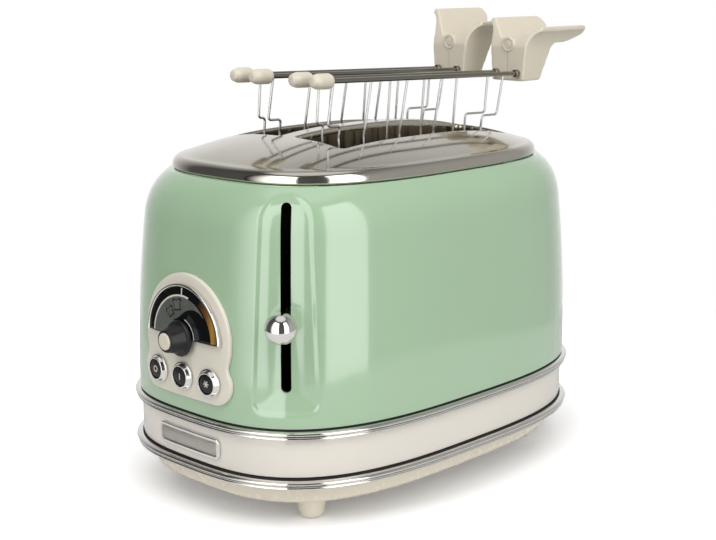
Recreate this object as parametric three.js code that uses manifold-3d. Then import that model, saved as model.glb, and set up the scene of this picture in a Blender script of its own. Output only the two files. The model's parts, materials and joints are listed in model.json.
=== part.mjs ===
// A retro two-slice toaster with a pair of wire sandwich tongs standing in its slots.
// Millimetres, +Z up. The controls are at the -X end, and the feet stand on Z = 0.
// The origin lies on the table, under the middle of the whole object's outline.
import * as THREE from 'three';
import { mergeVertices } from 'three/addons/utils/BufferGeometryUtils.js';
import Module from 'manifold-3d';

const wasm = await Module();
wasm.setup();

// Clearances, and how far a cutter runs past what it cuts
const seatGap = 0.3;
const runGap = 0.4;
const overrun = 40;

// Housing outline: a rounded oval, drawn in at the shoulder more along the length than across
const bodyLength = 306;
const bodyWidth = 208;
const outlineExponent = 3;
const outlineSteps = 44;
const widthDraftShare = 0.7;
const wall = 2;

// Feet and base pan
const footHeight = 14.2;
const footTopRadius = 12;
const footBottomRadius = 9;
const footEdgeRadius = 1.5;
const footFromEnd = 47;
const footFromSide = 44;
const panHeight = 12.7;
const panInset = 8;
const panCornerRadius = 4;
const panFlangeInset = 2;
const panFlangeThickness = 1.2;
const panWall = 2.5;

// Chrome beads above and below the base band
const beadHeight = 6.8;
const beadProud = 2;
const beadDepth = 5;
const beadGroove = 1;
const bandHeight = 23.6;
const bandInset = 1;

// Green shell
const shellHeight = 140.4;
const shoulderDrop = 28;
const shoulderDraft = 7;
const shoulderControlRise = 19;
const shellTopDraft = 24;
const shellLipWidth = 6;

// Steel top plate with its two bread slots
const plateDraft = 26;
const plateRimHeight = 8;
const plateRimRadius = 3.5;
const plateDomeRise = 15.5;
const domeExponent = 2.5;
const domeShares = [0.3, 0.6, 0.84];
const controlEndRoom = 89;
const rearEndRoom = 61;
const slotWidth = 41.5;
const slotPitch = 54;
const slotCornerRadius = 5;
const slotLipDepth = 16;

// Control panel: a disc over a round-ended bar
const panelThickness = 2.2;
const dialRise = 46.9;
const panelDiscRadius = 39;
const panelBarWidth = 80;
const panelBarHeight = 26;
const panelBarDrop = 24.5;
const dialRadius = 31;
const dialThickness = 2;
const bezelWidth = 1.8;
const bezelThickness = 2.8;

// Browning knob
const knobBaseRadius = 9;
const knobFrontRadius = 6.6;
const knobLength = 12;
const knobCollarRadius = 11.5;
const knobCollarHeight = 2.5;
const knobCapRadius = 5.2;
const knobCapThickness = 1.6;
const knobCapDepth = 1.1;
const shaftRadius = 3;
const shaftSeatDepth = 8;
const potRadius = 8.5;
const potDepth = 8;

// Push buttons in their stepped chrome rings
const buttonPitch = 23.7;
const buttonDrop = 24;
const buttonRadius = 6;
const buttonProud = 2.9;
const buttonCrown = 0.4;
const buttonReach = 15.9;
const ringBaseRadius = 9;
const ringStepRadius = 8.1;
const ringTopRadius = 7.2;
const ringBaseHeight = 1.2;
const ringHeight = 3.4;

// Lever, its slot and the scooped recess in the corner of the shell
const leverFromSide = 36;
const leverDrop = 76;
const leverStopGap = 1;
const leverSlotWidth = 6.2;
const leverSlotFootRise = 14;
const leverSlotTopDrop = 8;
const leverBallRadius = 9.5;
const leverBallReach = 14;
const leverBladeWidth = 3;
const leverBladeHeight = 8;
const leverBladeGrip = 6;
const leverCornerShare = 1 / 3;
const recessDepth = 3;
const recessBottomWidth = 42;
const recessTopWidth = 33;
const recessFootRise = 7.4;
const recessTopDrop = 2;
const recessCornerRadius = 8;

// Name plate, left bare, on the base band under the control panel
const plateFrameWidth = 56;
const plateFrameHeight = 13.4;
const plateFrameProud = 1.8;
const plateFaceDepth = 0.9;
const plateFrameBorder = 1.6;
const plateFrameCorner = 3;

// Chassis, bread wells and heaters
const chassisFrontRoom = 15;
const chassisRearRoom = 14.5;
const chassisThickness = 1.5;
const chassisHalfWidth = 58;
const chassisTopDrop = 4;
const guardOffset = 19.6;
const guardThickness = 1.2;
const guardFootRise = 0.4;
const guardTopDrop = 3;
const guardBorder = 4;
const guardWireCount = 7;
const guardWireWidth = 2;
const heaterThickness = 1.4;
const heaterOffset = 23.6;
const heaterInset = 6;
const heaterTopInset = 5;

// Bread carriage
const carriageSetback = 18;
const carriageThickness = 2.5;
const carriageHalfWidth = 46;
const carriageHeight = 34;
const rackWidth = 22;
const rackHeight = 3;
const windowSideGap = 0.8;
const windowEndGap = 1.6;
const rackRise = 4.7;
const rackEndGap = 7;
const guideRadius = 2.5;
const guideAcross = 15;
const bushRadius = 5.5;
const shelfThickness = 2;
const shelfReach = 26;
const shelfHalfWidth = 30;
const springRadius = 3;
const armatureLength = 11;
const armatureWidth = 18;
const armatureThickness = 4;
const magnetLength = 16;
const magnetWidth = 22;
const magnetHeight = 24;
const magnetPostWidth = 8;
const magnetGap = 0.5;

// Control board behind the panel
const boardInset = 19;
const boardThickness = 1.6;
const boardHalfWidth = 34;
const boardRise = 27.5;

// Crumb tray, drawn out at the +X end
const trayEndGap = 9;
const trayHalfWidth = 46;
const trayDepth = 9;
const trayWall = 1.2;
const trayRailHeight = 19.7;
const trayRailWidth = 3;
const trayRailAcross = 36;
const trayFrontHalfWidth = 52;
const trayFrontHeight = 15;
const trayGripRadius = 6;

// Cord gland at the +X end
const glandFromSide = 26;
const glandRise = 11.9;
const glandRadius = 5.5;
const glandFlangeRadius = 8;
const glandFlangeThickness = 2;
const glandBoreRadius = 3.2;
const glandLength = 14;

// Sandwich tongs
const tongHalfGap = 9;
const rodRadius = 1.6;
const wireRadius = 0.85;
const rodTipLength = 12.5;
const rodNeckLength = 16;
const rodGrip = 10;
const collarRadius = 2.7;
const collarLength = 3;
const cageHeight = 121.15;
const cageLowerHeight = 95.15;
const cageFrontRoom = 14;
const cageRearRoom = 2.5;
const cageFrontStep = 11;
const cageRearStep = 15.5;
const cageRearShift = 5.5;
const uprightCount = 3;
const uprightPitch = 33.6;
const bulbEndCover = 6;
const bulbLength = 16;
const bulbRadius = 4.8;
const bulbNeckRadius = 3.8;
const bulbEndRadius = 2.8;
const bulbEndLength = 3.5;
const bulbNeckLength = 4;
const handleBelowRod = 5.5;
const handleHeight = 40.5;
const handleFootLength = 20;
const handleReach = 63;
const handleLean = 7;
const handleFootWidth = 13.5;
const handleWaistWidth = 15.5;
const handleWingWidth = 23;
const handleWingWall = 3.6;
const handleSaddleDepth = 9;
const handlePivotDrop = 15;
const handleLipThickness = 6;
const handleLipRise = 15;
const handleMidGap = 0.5;
const knuckleRadius = 5;
const knuckleInset = 3.5;
const pinRadius = 1.5;
const pinInset = 7;

// Heights and places that follow from the sizes above
const panBottom = footHeight + seatGap;
const panTop = panBottom + panHeight;
const panFloor = panBottom + panWall;
const panFlangeBottom = panTop - panFlangeThickness;
const lowerBeadBottom = panTop + seatGap;
const bandBottom = lowerBeadBottom + beadHeight + seatGap;
const bandTop = bandBottom + bandHeight;
const upperBeadBottom = bandTop + seatGap;
const shellBottom = upperBeadBottom + beadHeight + seatGap;
const shellTop = shellBottom + shellHeight;
const shoulderBottom = shellTop - shoulderDrop;
const plateBottom = shellTop + seatGap;
const plateRimTop = plateBottom + plateRimHeight;
const plateCrown = plateRimTop + plateDomeRise;
const footAlong = bodyLength / 2 - footFromEnd;
const footAcross = bodyWidth / 2 - footFromSide;
const slotStart = controlEndRoom - bodyLength / 2;
const slotLength = bodyLength - controlEndRoom - rearEndRoom;
const slotEnd = slotStart + slotLength;
const slotMiddle = slotStart + slotLength / 2;
const slotCentre = slotPitch / 2;
const panelFace = seatGap + panelThickness;
const dialFace = panelFace + seatGap + dialThickness;
const dialHeight = shellBottom + dialRise;
const buttonHeight = dialHeight - buttonDrop;
const panelBarCentre = dialHeight - panelBarDrop;
const recessBottom = shellBottom + recessFootRise;
const recessTop = shellTop - recessTopDrop;
const leverSlotBottom = recessBottom + leverSlotFootRise;
const leverSlotTop = shellTop - leverSlotTopDrop;
const leverHeight = shellTop - leverDrop;
const leverAcross = bodyWidth / 2 - leverFromSide;
const leverTravel = leverHeight - leverBladeHeight / 2 - leverStopGap - leverSlotBottom;
const chassisStart = slotStart - chassisFrontRoom;
const chassisEnd = slotEnd + chassisRearRoom;
const chassisTop = shellTop - chassisTopDrop;
const wellStart = chassisStart + chassisThickness + seatGap;
const wellEnd = chassisEnd - chassisThickness - seatGap;
const wellLength = wellEnd - wellStart;
const guardBottom = shellBottom + guardFootRise;
const guardTop = shellTop - guardTopDrop;
const heaterBottom = guardBottom + heaterInset;
const heaterTop = guardTop - heaterTopInset;
const rackTop = leverHeight + rackRise;
const rackEnd = chassisEnd - chassisThickness - rackEndGap;
const carriageFace = chassisStart - carriageSetback;
const carriageBottom = leverHeight - carriageHeight / 2;
const carriageTop = leverHeight + carriageHeight / 2;
const guidePlace = carriageFace + carriageThickness / 2;
const armatureBottom = carriageBottom - seatGap - armatureThickness;
const magnetTop = armatureBottom - leverTravel - magnetGap;
const boardPlace = boardInset - bodyLength / 2;
const boardTop = dialHeight + boardRise;
const trayStart = chassisStart + trayEndGap;
const trayBottom = panFloor + trayRailHeight + seatGap;
const glandAcross = bodyWidth / 2 - glandFromSide;
const glandHeight = bandBottom + glandRise;
const cageBottom = rackTop + seatGap + wireRadius;
const cageShoulderHeight = cageBottom + cageLowerHeight;
const cageLowerStart = slotStart + cageFrontRoom;
const cageLowerEnd = slotEnd - cageRearRoom;
const cageUpperStart = cageLowerStart - cageFrontStep;
const cageUpperEnd = cageLowerEnd + cageRearStep;
const rodHeight = cageBottom + cageHeight;
const rodStart = cageUpperStart - rodTipLength;
const bulbStart = rodStart - bulbEndCover;
const handleStart = cageUpperEnd + rodNeckLength;
const handleEnd = handleStart + handleReach;
const handleBottom = rodHeight - handleBelowRod;
const handleTop = handleBottom + handleHeight;
const handleSaddleHeight = handleTop - handleSaddleDepth;
const handlePivotHeight = handleTop - handlePivotDrop;

const X = new THREE.Vector3(1, 0, 0);
const Y = new THREE.Vector3(0, 1, 0);
const Z = new THREE.Vector3(0, 0, 1);
const at = (x, y, z) => new THREE.Vector3(x, y, z);

// Solids from geometry, and geometry from solids

function solidOf(geometry) {
  const bare = geometry.clone();
  bare.deleteAttribute('normal');
  bare.deleteAttribute('uv');
  const merged = mergeVertices(bare);
  const vertProperties = new Float32Array(merged.attributes.position.array);
  const triVerts = new Uint32Array(merged.index.array);
  return new wasm.Manifold(new wasm.Mesh({ numProp: 3, vertProperties, triVerts }));
}

function geometryOf(solid) {
  const mesh = solid.getMesh();
  const geometry = new THREE.BufferGeometry();
  geometry.setAttribute('position', new THREE.BufferAttribute(new Float32Array(mesh.vertProperties), 3));
  geometry.setIndex(new THREE.BufferAttribute(new Uint32Array(mesh.triVerts), 1));
  return geometry;
}

// A box given by its lowest and highest corners
function block(low, high) {
  const size = high.clone().sub(low);
  const middle = low.clone().add(high).multiplyScalar(1 / 2);
  const geometry = new THREE.BoxGeometry(size.x, size.y, size.z);
  geometry.translate(middle.x, middle.y, middle.z);
  return solidOf(geometry);
}

// A round bar between two points
function bar(radius, from, to, sides = 12) {
  const line = to.clone().sub(from);
  const geometry = new THREE.CylinderGeometry(radius, radius, line.length(), sides);
  geometry.translate(0, line.length() / 2, 0);
  geometry.applyQuaternion(new THREE.Quaternion().setFromUnitVectors(Y, line.clone().normalize()));
  geometry.translate(from.x, from.y, from.z);
  return solidOf(geometry);
}

// The point at a distance from another along a direction
function along(point, direction, distance) {
  return point.clone().addScaledVector(direction, distance);
}

// A turned piece: points are [radius, distance along the axis] from the origin given
function turned(points, origin, axis, sides = 16) {
  const profile = points.map(([radius, distance]) => new THREE.Vector2(radius, distance));
  const geometry = new THREE.LatheGeometry(profile, sides);
  geometry.applyQuaternion(new THREE.Quaternion().setFromUnitVectors(Y, axis));
  geometry.translate(origin.x, origin.y, origin.z);
  return solidOf(geometry);
}

// A flat shape drawn along two directions from an origin and pushed out square to both
function pushed(shape, origin, across, up, depth, curveSegments = 12) {
  const geometry = new THREE.ExtrudeGeometry(shape, { depth, bevelEnabled: false, curveSegments });
  const out = across.clone().cross(up);
  geometry.applyMatrix4(new THREE.Matrix4().makeBasis(across, up, out).setPosition(origin));
  return solidOf(geometry);
}

function polygon(points) {
  return new THREE.Shape(points.map(([x, y]) => new THREE.Vector2(x, y)));
}

// A rectangle about a middle point with rounded corners
function roundedRectangle(width, height, radius, middleX = 0, middleY = 0) {
  const right = width / 2;
  const top = height / 2;
  const shape = new THREE.Shape();
  shape.absarc(middleX + right - radius, middleY + top - radius, radius, 0, Math.PI / 2);
  shape.absarc(middleX - right + radius, middleY + top - radius, radius, Math.PI / 2, Math.PI);
  shape.absarc(middleX - right + radius, middleY - top + radius, radius, Math.PI, Math.PI * 3 / 2);
  shape.absarc(middleX + right - radius, middleY - top + radius, radius, Math.PI * 3 / 2, Math.PI * 2);
  return shape;
}

// The oval outline of the housing, anticlockwise from above
function outline([halfLength, halfWidth]) {
  const points = [];
  for (let step = 0; step < outlineSteps; step += 1) {
    const turn = (step / outlineSteps) * Math.PI * 2;
    const cosine = Math.cos(turn);
    const sine = Math.sin(turn);
    points.push([
      halfLength * Math.sign(cosine) * Math.abs(cosine) ** (2 / outlineExponent),
      halfWidth * Math.sign(sine) * Math.abs(sine) ** (2 / outlineExponent),
    ]);
  }
  return points;
}

// A solid whose level sections are ovals. Each level is [[half length, half width], height].
// A ring closes on itself, and anything else closes to a point of the axis at both ends.
function layered(levels, isRing = false) {
  const positions = [];
  for (const [sizes, height] of levels) {
    for (const [x, y] of outline(sizes)) {
      positions.push(x, y, height);
    }
  }
  const index = [];
  const count = levels.length;
  const loops = isRing ? count : count - 1;
  for (let level = 0; level < loops; level += 1) {
    for (let step = 0; step < outlineSteps; step += 1) {
      const next = (step + 1) % outlineSteps;
      const low = level * outlineSteps;
      const high = ((level + 1) % count) * outlineSteps;
      index.push(low + step, low + next, high + next);
      index.push(low + step, high + next, high + step);
    }
  }
  if (!isRing) {
    const first = positions.length / 3;
    positions.push(0, 0, levels[0][1], 0, 0, levels[count - 1][1]);
    for (let step = 0; step < outlineSteps; step += 1) {
      const next = (step + 1) % outlineSteps;
      const high = (count - 1) * outlineSteps;
      index.push(first, next, step);
      index.push(first + 1, high + step, high + next);
    }
  }
  const geometry = new THREE.BufferGeometry();
  geometry.setAttribute('position', new THREE.Float32BufferAttribute(positions, 3));
  geometry.setIndex(index);
  return solidOf(geometry);
}

// Half sizes of the housing at a draft, drawn in evenly by an inset
function halfSizes(draft, inset = 0) {
  return [bodyLength / 2 - draft - inset, bodyWidth / 2 - draft * widthDraftShare - inset];
}

// The draft of the shell's wall at a height below the shoulder
function wallDraft(height) {
  const share = (height - shellBottom) / (shoulderBottom - shellBottom);
  return shoulderDraft * share ** 2;
}

// The shell's outer surface as [draft, height] pairs from its foot to its top edge
function shellProfile() {
  const profile = [];
  const wallSteps = 3;
  for (let step = 0; step < wallSteps; step += 1) {
    const height = shellBottom + ((shoulderBottom - shellBottom) * step) / wallSteps;
    profile.push([wallDraft(height), height]);
  }
  const slope = (2 * shoulderDraft) / (shoulderBottom - shellBottom);
  const shoulder = new THREE.QuadraticBezierCurve(
    new THREE.Vector2(shoulderDraft, shoulderBottom),
    new THREE.Vector2(shoulderDraft + slope * shoulderControlRise, shoulderBottom + shoulderControlRise),
    new THREE.Vector2(shellTopDraft, shellTop),
  );
  for (const point of shoulder.getPoints(4)) {
    profile.push([point.x, point.y]);
  }
  return profile;
}

// The space inside the shell's outer surface, drawn in by an inset, or let out by a negative one
function shellSpace(inset) {
  return layered(shellProfile().map(([draft, height]) => [halfSizes(draft, inset), height]));
}

// The space inside the base band's outer surface
function bandSpace(inset) {
  const sizes = halfSizes(0, bandInset + inset);
  return layered([[sizes, bandBottom], [sizes, bandTop]]);
}

// A point of the shell's wall and its outward direction, at an end, across and height
function wallPoint(end, across, height, sizes = halfSizes(wallDraft(height))) {
  const [halfLength, halfWidth] = sizes;
  const share = Math.abs(across) / halfWidth;
  const reach = halfLength * (1 - share ** outlineExponent) ** (1 / outlineExponent);
  const out = at(
    (end * (reach / halfLength) ** (outlineExponent - 1)) / halfLength,
    (Math.sign(across) * share ** (outlineExponent - 1)) / halfWidth,
    0,
  );
  return { point: at(end * reach, across, height), out: out.normalize() };
}

// Materials

function finish(color, roughness, metalness = 0) {
  return new THREE.MeshStandardMaterial({ color, roughness, metalness });
}

const greenEnamel = () => finish('#a3c1a0', 0.25);
const creamPlastic = () => finish('#d9d2c4', 0.4);
const creamEnamel = () => finish('#e0d8ce', 0.3);
const blackPlastic = () => finish('#17181a', 0.35);
const chrome = () => finish('#d6d6d4', 0.08, 1);
const brushedSteel = () => finish('#b6b3a8', 0.32, 1);
const wireSteel = () => finish('#a9a69c', 0.25, 1);
const sheetSteel = () => finish('#8d8a82', 0.5, 1);
const aluminium = () => finish('#b9bbbd', 0.45, 1);
const mica = () => finish('#b59a72', 0.7);
const boardGreen = () => finish('#2d6b3c', 0.6);
const darkIron = () => finish('#3c3a38', 0.6, 0.6);

// Parts are gathered here in the order in which they are made
const toaster = new THREE.Group();

function part(name, solid, material) {
  const mesh = new THREE.Mesh(geometryOf(solid), material);
  mesh.name = name;
  toaster.add(mesh);
}

// Base

function makeFeet() {
  const places = [[-1, -1], [1, -1], [1, 1], [-1, 1]];
  places.forEach(([alongSide, acrossSide], index) => {
    const profile = [
      [0, 0],
      [footBottomRadius - footEdgeRadius, 0],
      [footBottomRadius, footEdgeRadius],
      [footTopRadius, footHeight],
      [0, footHeight],
    ];
    const foot = turned(profile, at(alongSide * footAlong, acrossSide * footAcross, 0), Z);
    part(`foot_${index + 1}`, foot, creamPlastic());
  });
}

// The pan's wall stands back from the band, and its flange reaches out under the lower bead
function makeBasePan() {
  const flatInset = panInset + panCornerRadius;
  const outer = [];
  const inner = [];
  const cornerSteps = 2;
  for (let step = 0; step <= cornerSteps; step += 1) {
    const turn = ((step / cornerSteps) * Math.PI) / 2;
    const inset = flatInset - panCornerRadius * Math.sin(turn);
    const rise = panCornerRadius * (1 - Math.cos(turn));
    outer.push([halfSizes(0, inset), panBottom + rise]);
    inner.unshift([halfSizes(0, inset + panWall), panFloor + rise]);
  }
  const rim = [
    [halfSizes(0, panInset), panFlangeBottom],
    [halfSizes(0, panFlangeInset), panFlangeBottom],
    [halfSizes(0, panFlangeInset), panTop],
    [halfSizes(0, panInset + panWall), panTop],
  ];
  let pan = layered([...outer, ...rim, ...inner]);
  for (const side of [-1, 1]) {
    const middle = side * trayRailAcross;
    const low = at(trayStart, middle - trayRailWidth / 2, panFloor - panWall / 2);
    const high = at(wellEnd, middle + trayRailWidth / 2, panFloor + trayRailHeight);
    pan = pan.add(block(low, high));
  }
  part('base_pan', pan, creamEnamel());
}

// A half-round bead with a groove along its crest
function bead(bottom) {
  const profile = [];
  const steps = 4;
  for (let step = 0; step <= steps; step += 1) {
    const turn = (step / steps) * Math.PI;
    const groove = step === steps / 2 ? beadGroove : 0;
    profile.push([beadProud * Math.sin(turn) - groove, beadHeight * ((1 - Math.cos(turn)) / 2)]);
  }
  const backInset = beadDepth - beadProud;
  const levels = profile.map(([proud, rise]) => [halfSizes(0, -proud), bottom + rise]);
  levels.push([halfSizes(0, backInset), bottom + beadHeight], [halfSizes(0, backInset), bottom]);
  return layered(levels, true);
}

function makeBaseBand() {
  const outer = halfSizes(0, bandInset);
  const inner = halfSizes(0, bandInset + panWall);
  let band = layered([[outer, bandBottom], [outer, bandTop], [inner, bandTop], [inner, bandBottom]], true);
  const opening = block(
    at(0, -trayFrontHalfWidth - runGap, trayBottom - runGap),
    at(bodyLength, trayFrontHalfWidth + runGap, trayBottom + trayFrontHeight + runGap),
  );
  const gland = glandFrame();
  const hole = bar(
    glandRadius + seatGap,
    along(gland.point, gland.out, -overrun / 2),
    along(gland.point, gland.out, overrun / 2),
  );
  band = band.subtract(opening).subtract(hole);
  part('base_band', band, creamEnamel());
}

function glandFrame() {
  return wallPoint(1, glandAcross, glandHeight, halfSizes(0, bandInset));
}

function makeCordGland() {
  const { point, out } = glandFrame();
  const inside = glandFlangeThickness + panWall + seatGap;
  const profile = [
    [glandBoreRadius, inside - glandLength],
    [glandRadius, inside - glandLength],
    [glandRadius, seatGap],
    [glandFlangeRadius, seatGap],
    [glandFlangeRadius, seatGap + glandFlangeThickness],
    [glandBoreRadius, seatGap + glandFlangeThickness],
    [glandBoreRadius, inside - glandLength],
  ];
  part('cord_gland', turned(profile, point, out, 16), blackPlastic());
}

// Crumb tray

function makeCrumbTray() {
  const high = trayBottom + trayDepth;
  const behindFront = halfSizes(0, bandInset + panWall + seatGap);
  const reach = wallPoint(1, trayHalfWidth, trayBottom, behindFront).point.x;
  let tray = block(at(trayStart, -trayHalfWidth, trayBottom), at(reach, trayHalfWidth, high));
  const hollow = block(
    at(trayStart + trayWall, -trayHalfWidth + trayWall, trayBottom + trayWall),
    at(reach - trayWall, trayHalfWidth - trayWall, high + overrun),
  );
  tray = tray.subtract(hollow);
  part('crumb_tray', tray, aluminium());
  const gripTop = trayBottom + trayFrontHeight;
  const plate = block(at(0, -trayFrontHalfWidth, trayBottom), at(bodyLength, trayFrontHalfWidth, gripTop));
  const grip = bar(trayGripRadius, at(0, 0, gripTop), at(bodyLength, 0, gripTop));
  const face = bandSpace(0).subtract(bandSpace(panWall)).intersect(plate).subtract(grip);
  part('crumb_tray_front', face, creamEnamel());
}

// Shell

// The arched outline of the recess, let out all round by a border
function recessOutline(border) {
  const half = recessBottomWidth / 2 + border;
  const topHalf = recessTopWidth / 2 + border;
  const bottom = recessBottom - border;
  const top = recessTop + border;
  const spring = top - topHalf;
  const shape = new THREE.Shape();
  shape.moveTo(-half + recessCornerRadius, bottom);
  shape.lineTo(half - recessCornerRadius, bottom);
  shape.quadraticCurveTo(half, bottom, half, bottom + recessCornerRadius);
  shape.lineTo(topHalf, spring);
  shape.absarc(0, spring, topHalf, 0, Math.PI);
  shape.lineTo(-half, bottom + recessCornerRadius);
  shape.quadraticCurveTo(-half, bottom, -half + recessCornerRadius, bottom);
  return shape;
}

function leverFrame() {
  const { point, out } = wallPoint(-1, -leverAcross, leverHeight);
  return { point, out, across: Z.clone().cross(out) };
}

// A shape drawn across the lever corner, pushed out through the wall
function throughCorner(shape) {
  const { point, out, across } = leverFrame();
  const origin = along(point, out, -overrun / 2);
  origin.z = 0;
  return pushed(shape, origin, across, Z, overrun, 5);
}

function panelHoles() {
  const shaft = bar(shaftRadius + runGap, at(-bodyLength, 0, dialHeight), at(boardPlace, 0, dialHeight));
  return buttonFrames().reduce((holes, { point, out }) => {
    const start = along(point, out, -overrun / 2);
    const end = along(point, out, overrun / 2);
    return holes.add(bar(buttonRadius + runGap, start, end));
  }, shaft);
}

function makeShell() {
  const profile = shellProfile();
  const outer = profile.map(([draft, height]) => [halfSizes(draft), height]);
  const lip = [halfSizes(shellTopDraft, shellLipWidth), shellTop];
  const underLip = [halfSizes(shellTopDraft, shellLipWidth), shellTop - wall];
  const inner = profile.slice(0, -1).map(([draft, height]) => {
    return [halfSizes(draft, wall), Math.min(height, shellTop - wall)];
  });
  inner.reverse();
  let shell = layered([...outer, lip, underLip, ...inner], true);
  const skin = shellSpace(0).subtract(shellSpace(recessDepth + wall));
  const backing = throughCorner(recessOutline(wall)).intersect(skin);
  const scoop = throughCorner(recessOutline(0)).subtract(shellSpace(recessDepth));
  const slotHeight = leverSlotTop - leverSlotBottom;
  const slotMiddleHeight = (leverSlotTop + leverSlotBottom) / 2;
  const corner = leverSlotWidth * leverCornerShare;
  const slot = roundedRectangle(leverSlotWidth, slotHeight, corner, 0, slotMiddleHeight);
  shell = shell.add(backing).subtract(scoop).subtract(throughCorner(slot)).subtract(panelHoles());
  part('outer_shell', shell, greenEnamel());
}

// Top plate

function slotShape(side, border) {
  return roundedRectangle(
    slotLength + 2 * border,
    slotWidth + 2 * border,
    slotCornerRadius + border,
    slotMiddle,
    side * slotCentre,
  );
}

// The plate's surface from the axis out to the rim, sunk by a depth
function domeLevels(sink) {
  const [halfLength, halfWidth] = halfSizes(plateDraft + plateRimRadius);
  return domeShares.map((share) => [
    [share * halfLength, share * halfWidth],
    plateRimTop + plateDomeRise * (1 - share ** domeExponent) - sink,
  ]);
}

function plateSolid(sink, inset) {
  const rim = [];
  const rimSteps = 2;
  for (let step = 0; step <= rimSteps; step += 1) {
    const turn = ((step / rimSteps) * Math.PI) / 2;
    const draft = plateDraft + plateRimRadius * (1 - Math.cos(turn));
    rim.push([halfSizes(draft, inset), plateRimTop - sink - plateRimRadius * (1 - Math.sin(turn))]);
  }
  return [[halfSizes(plateDraft, inset), plateBottom], ...rim, ...domeLevels(sink).reverse()];
}

function makeTopPlate() {
  const outer = layered(plateSolid(0, 0));
  const hollow = layered(plateSolid(wall, wall));
  const below = block(at(-bodyLength, -bodyWidth, 0), at(bodyLength, bodyWidth, plateBottom + wall / 2));
  let plate = outer.subtract(hollow.add(below.intersect(hollow)));
  for (const side of [-1, 1]) {
    const lipBottom = plateCrown - slotLipDepth;
    const lip = pushed(slotShape(side, wall), at(0, 0, lipBottom), X, Y, slotLipDepth, 3).intersect(outer);
    const cut = pushed(slotShape(side, 0), at(0, 0, plateBottom - overrun), X, Y, overrun * 2, 3);
    plate = plate.add(lip).subtract(cut);
  }
  part('top_plate', plate, brushedSteel());
}

// Control panel

function buttonFrames() {
  return [1, 0, -1].map((place) => wallPoint(-1, place * buttonPitch, buttonHeight));
}

// A piece that follows the shell's wall at the -X end, between two distances outside it
function wallSkin(shape, from, to, curveSegments = 10) {
  const prism = pushed(shape, at(-bodyLength, 0, 0), Y, Z, bodyLength / 2 + overrun, curveSegments);
  return shellSpace(-to).subtract(shellSpace(-from)).intersect(prism);
}

function arcShape(radius, from, to) {
  const shape = new THREE.Shape();
  shape.moveTo(0, dialHeight);
  shape.absarc(0, dialHeight, radius, from, to);
  return shape;
}

function makeControlPanel() {
  const disc = wallSkin(arcShape(panelDiscRadius, 0, Math.PI * 2), seatGap, panelFace);
  const radius = panelBarHeight / 2;
  const barShape = roundedRectangle(panelBarWidth, panelBarHeight, radius, 0, panelBarCentre);
  const panel = disc.add(wallSkin(barShape, seatGap, panelFace)).subtract(panelHoles());
  part('control_panel', panel, creamPlastic());
}

function makeDial() {
  const base = panelFace + seatGap;
  const shaftHole = bar(shaftRadius + runGap, at(-bodyLength, 0, dialHeight), at(0, 0, dialHeight));
  const face = wallSkin(arcShape(dialRadius, 0, Math.PI), base, dialFace).subtract(shaftHole);
  part('dial_face', face, blackPlastic());
  const outer = arcShape(dialRadius + seatGap + bezelWidth, 0, Math.PI);
  const inner = arcShape(dialRadius + seatGap, 0, Math.PI * 2);
  const opening = wallSkin(inner, 0, base + overrun, 20);
  part('dial_bezel', wallSkin(outer, base, base + bezelThickness).subtract(opening), chrome());
}

// Distances out from the shell's wall on the knob's axis
function makeKnob() {
  const { point } = wallPoint(-1, 0, dialHeight);
  const out = X.clone().negate();
  const base = dialFace + seatGap;
  const front = base + knobLength;
  const pocket = front - knobCapDepth;
  const shaftEnd = base + shaftSeatDepth;
  const profile = [
    [0, base],
    [knobCollarRadius, base],
    [knobCollarRadius, base + knobCollarHeight],
    [knobBaseRadius, base + knobCollarHeight],
    [knobFrontRadius, front],
    [0, front],
  ];
  const place = (distance) => along(point, out, distance);
  const capHole = bar(knobCapRadius + seatGap, place(pocket), place(front + overrun));
  const shaftHole = bar(shaftRadius + seatGap, place(0), place(shaftEnd));
  const knob = turned(profile, point, out, 20).subtract(capHole).subtract(shaftHole);
  part('browning_knob', knob, blackPlastic());
  const capStart = pocket + seatGap;
  const cap = turned([
    [0, capStart],
    [knobCapRadius, capStart],
    [knobCapRadius, capStart + knobCapThickness / 2],
    [0, capStart + knobCapThickness],
  ], point, out);
  part('knob_cap', cap, creamPlastic());
  const potBack = boardPlace - seatGap;
  const shaftStart = at(potBack - potDepth / 2, 0, dialHeight);
  const shaftFront = place(shaftEnd - seatGap);
  part('knob_shaft', bar(shaftRadius, shaftStart, shaftFront), aluminium());
  const potFront = at(potBack - potDepth, 0, dialHeight);
  const body = bar(potRadius, at(potBack, 0, dialHeight), potFront, 20);
  const boreEnd = at(potBack - potDepth / 2 + runGap, 0, dialHeight);
  const bore = bar(shaftRadius + runGap, boreEnd, at(-bodyLength, 0, dialHeight));
  part('potentiometer', body.subtract(bore), aluminium());
}

function makeButtons() {
  buttonFrames().forEach(({ point, out }, index) => {
    const base = panelFace + seatGap;
    const bore = buttonRadius + runGap;
    const ring = turned([
      [bore, base],
      [ringBaseRadius, base],
      [ringBaseRadius, base + ringBaseHeight],
      [ringStepRadius, base + ringBaseHeight],
      [ringTopRadius, base + ringHeight],
      [bore, base + ringHeight],
      [bore, base],
    ], point, out);
    part(`button_ring_${index + 1}`, ring, chrome());
    const face = panelFace + buttonProud;
    const button = turned([
      [0, -buttonReach],
      [buttonRadius, -buttonReach],
      [buttonRadius, face],
      [buttonRadius / 2, face + buttonCrown],
      [0, face + buttonCrown],
    ], point, out);
    part(`button_${index + 1}`, button, blackPlastic());
  });
}

function makeControlBoard() {
  const low = at(boardPlace, -boardHalfWidth, panFloor + seatGap);
  const high = at(boardPlace + boardThickness, boardHalfWidth, boardTop);
  part('control_board', block(low, high), boardGreen());
}

// Name plate

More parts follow.
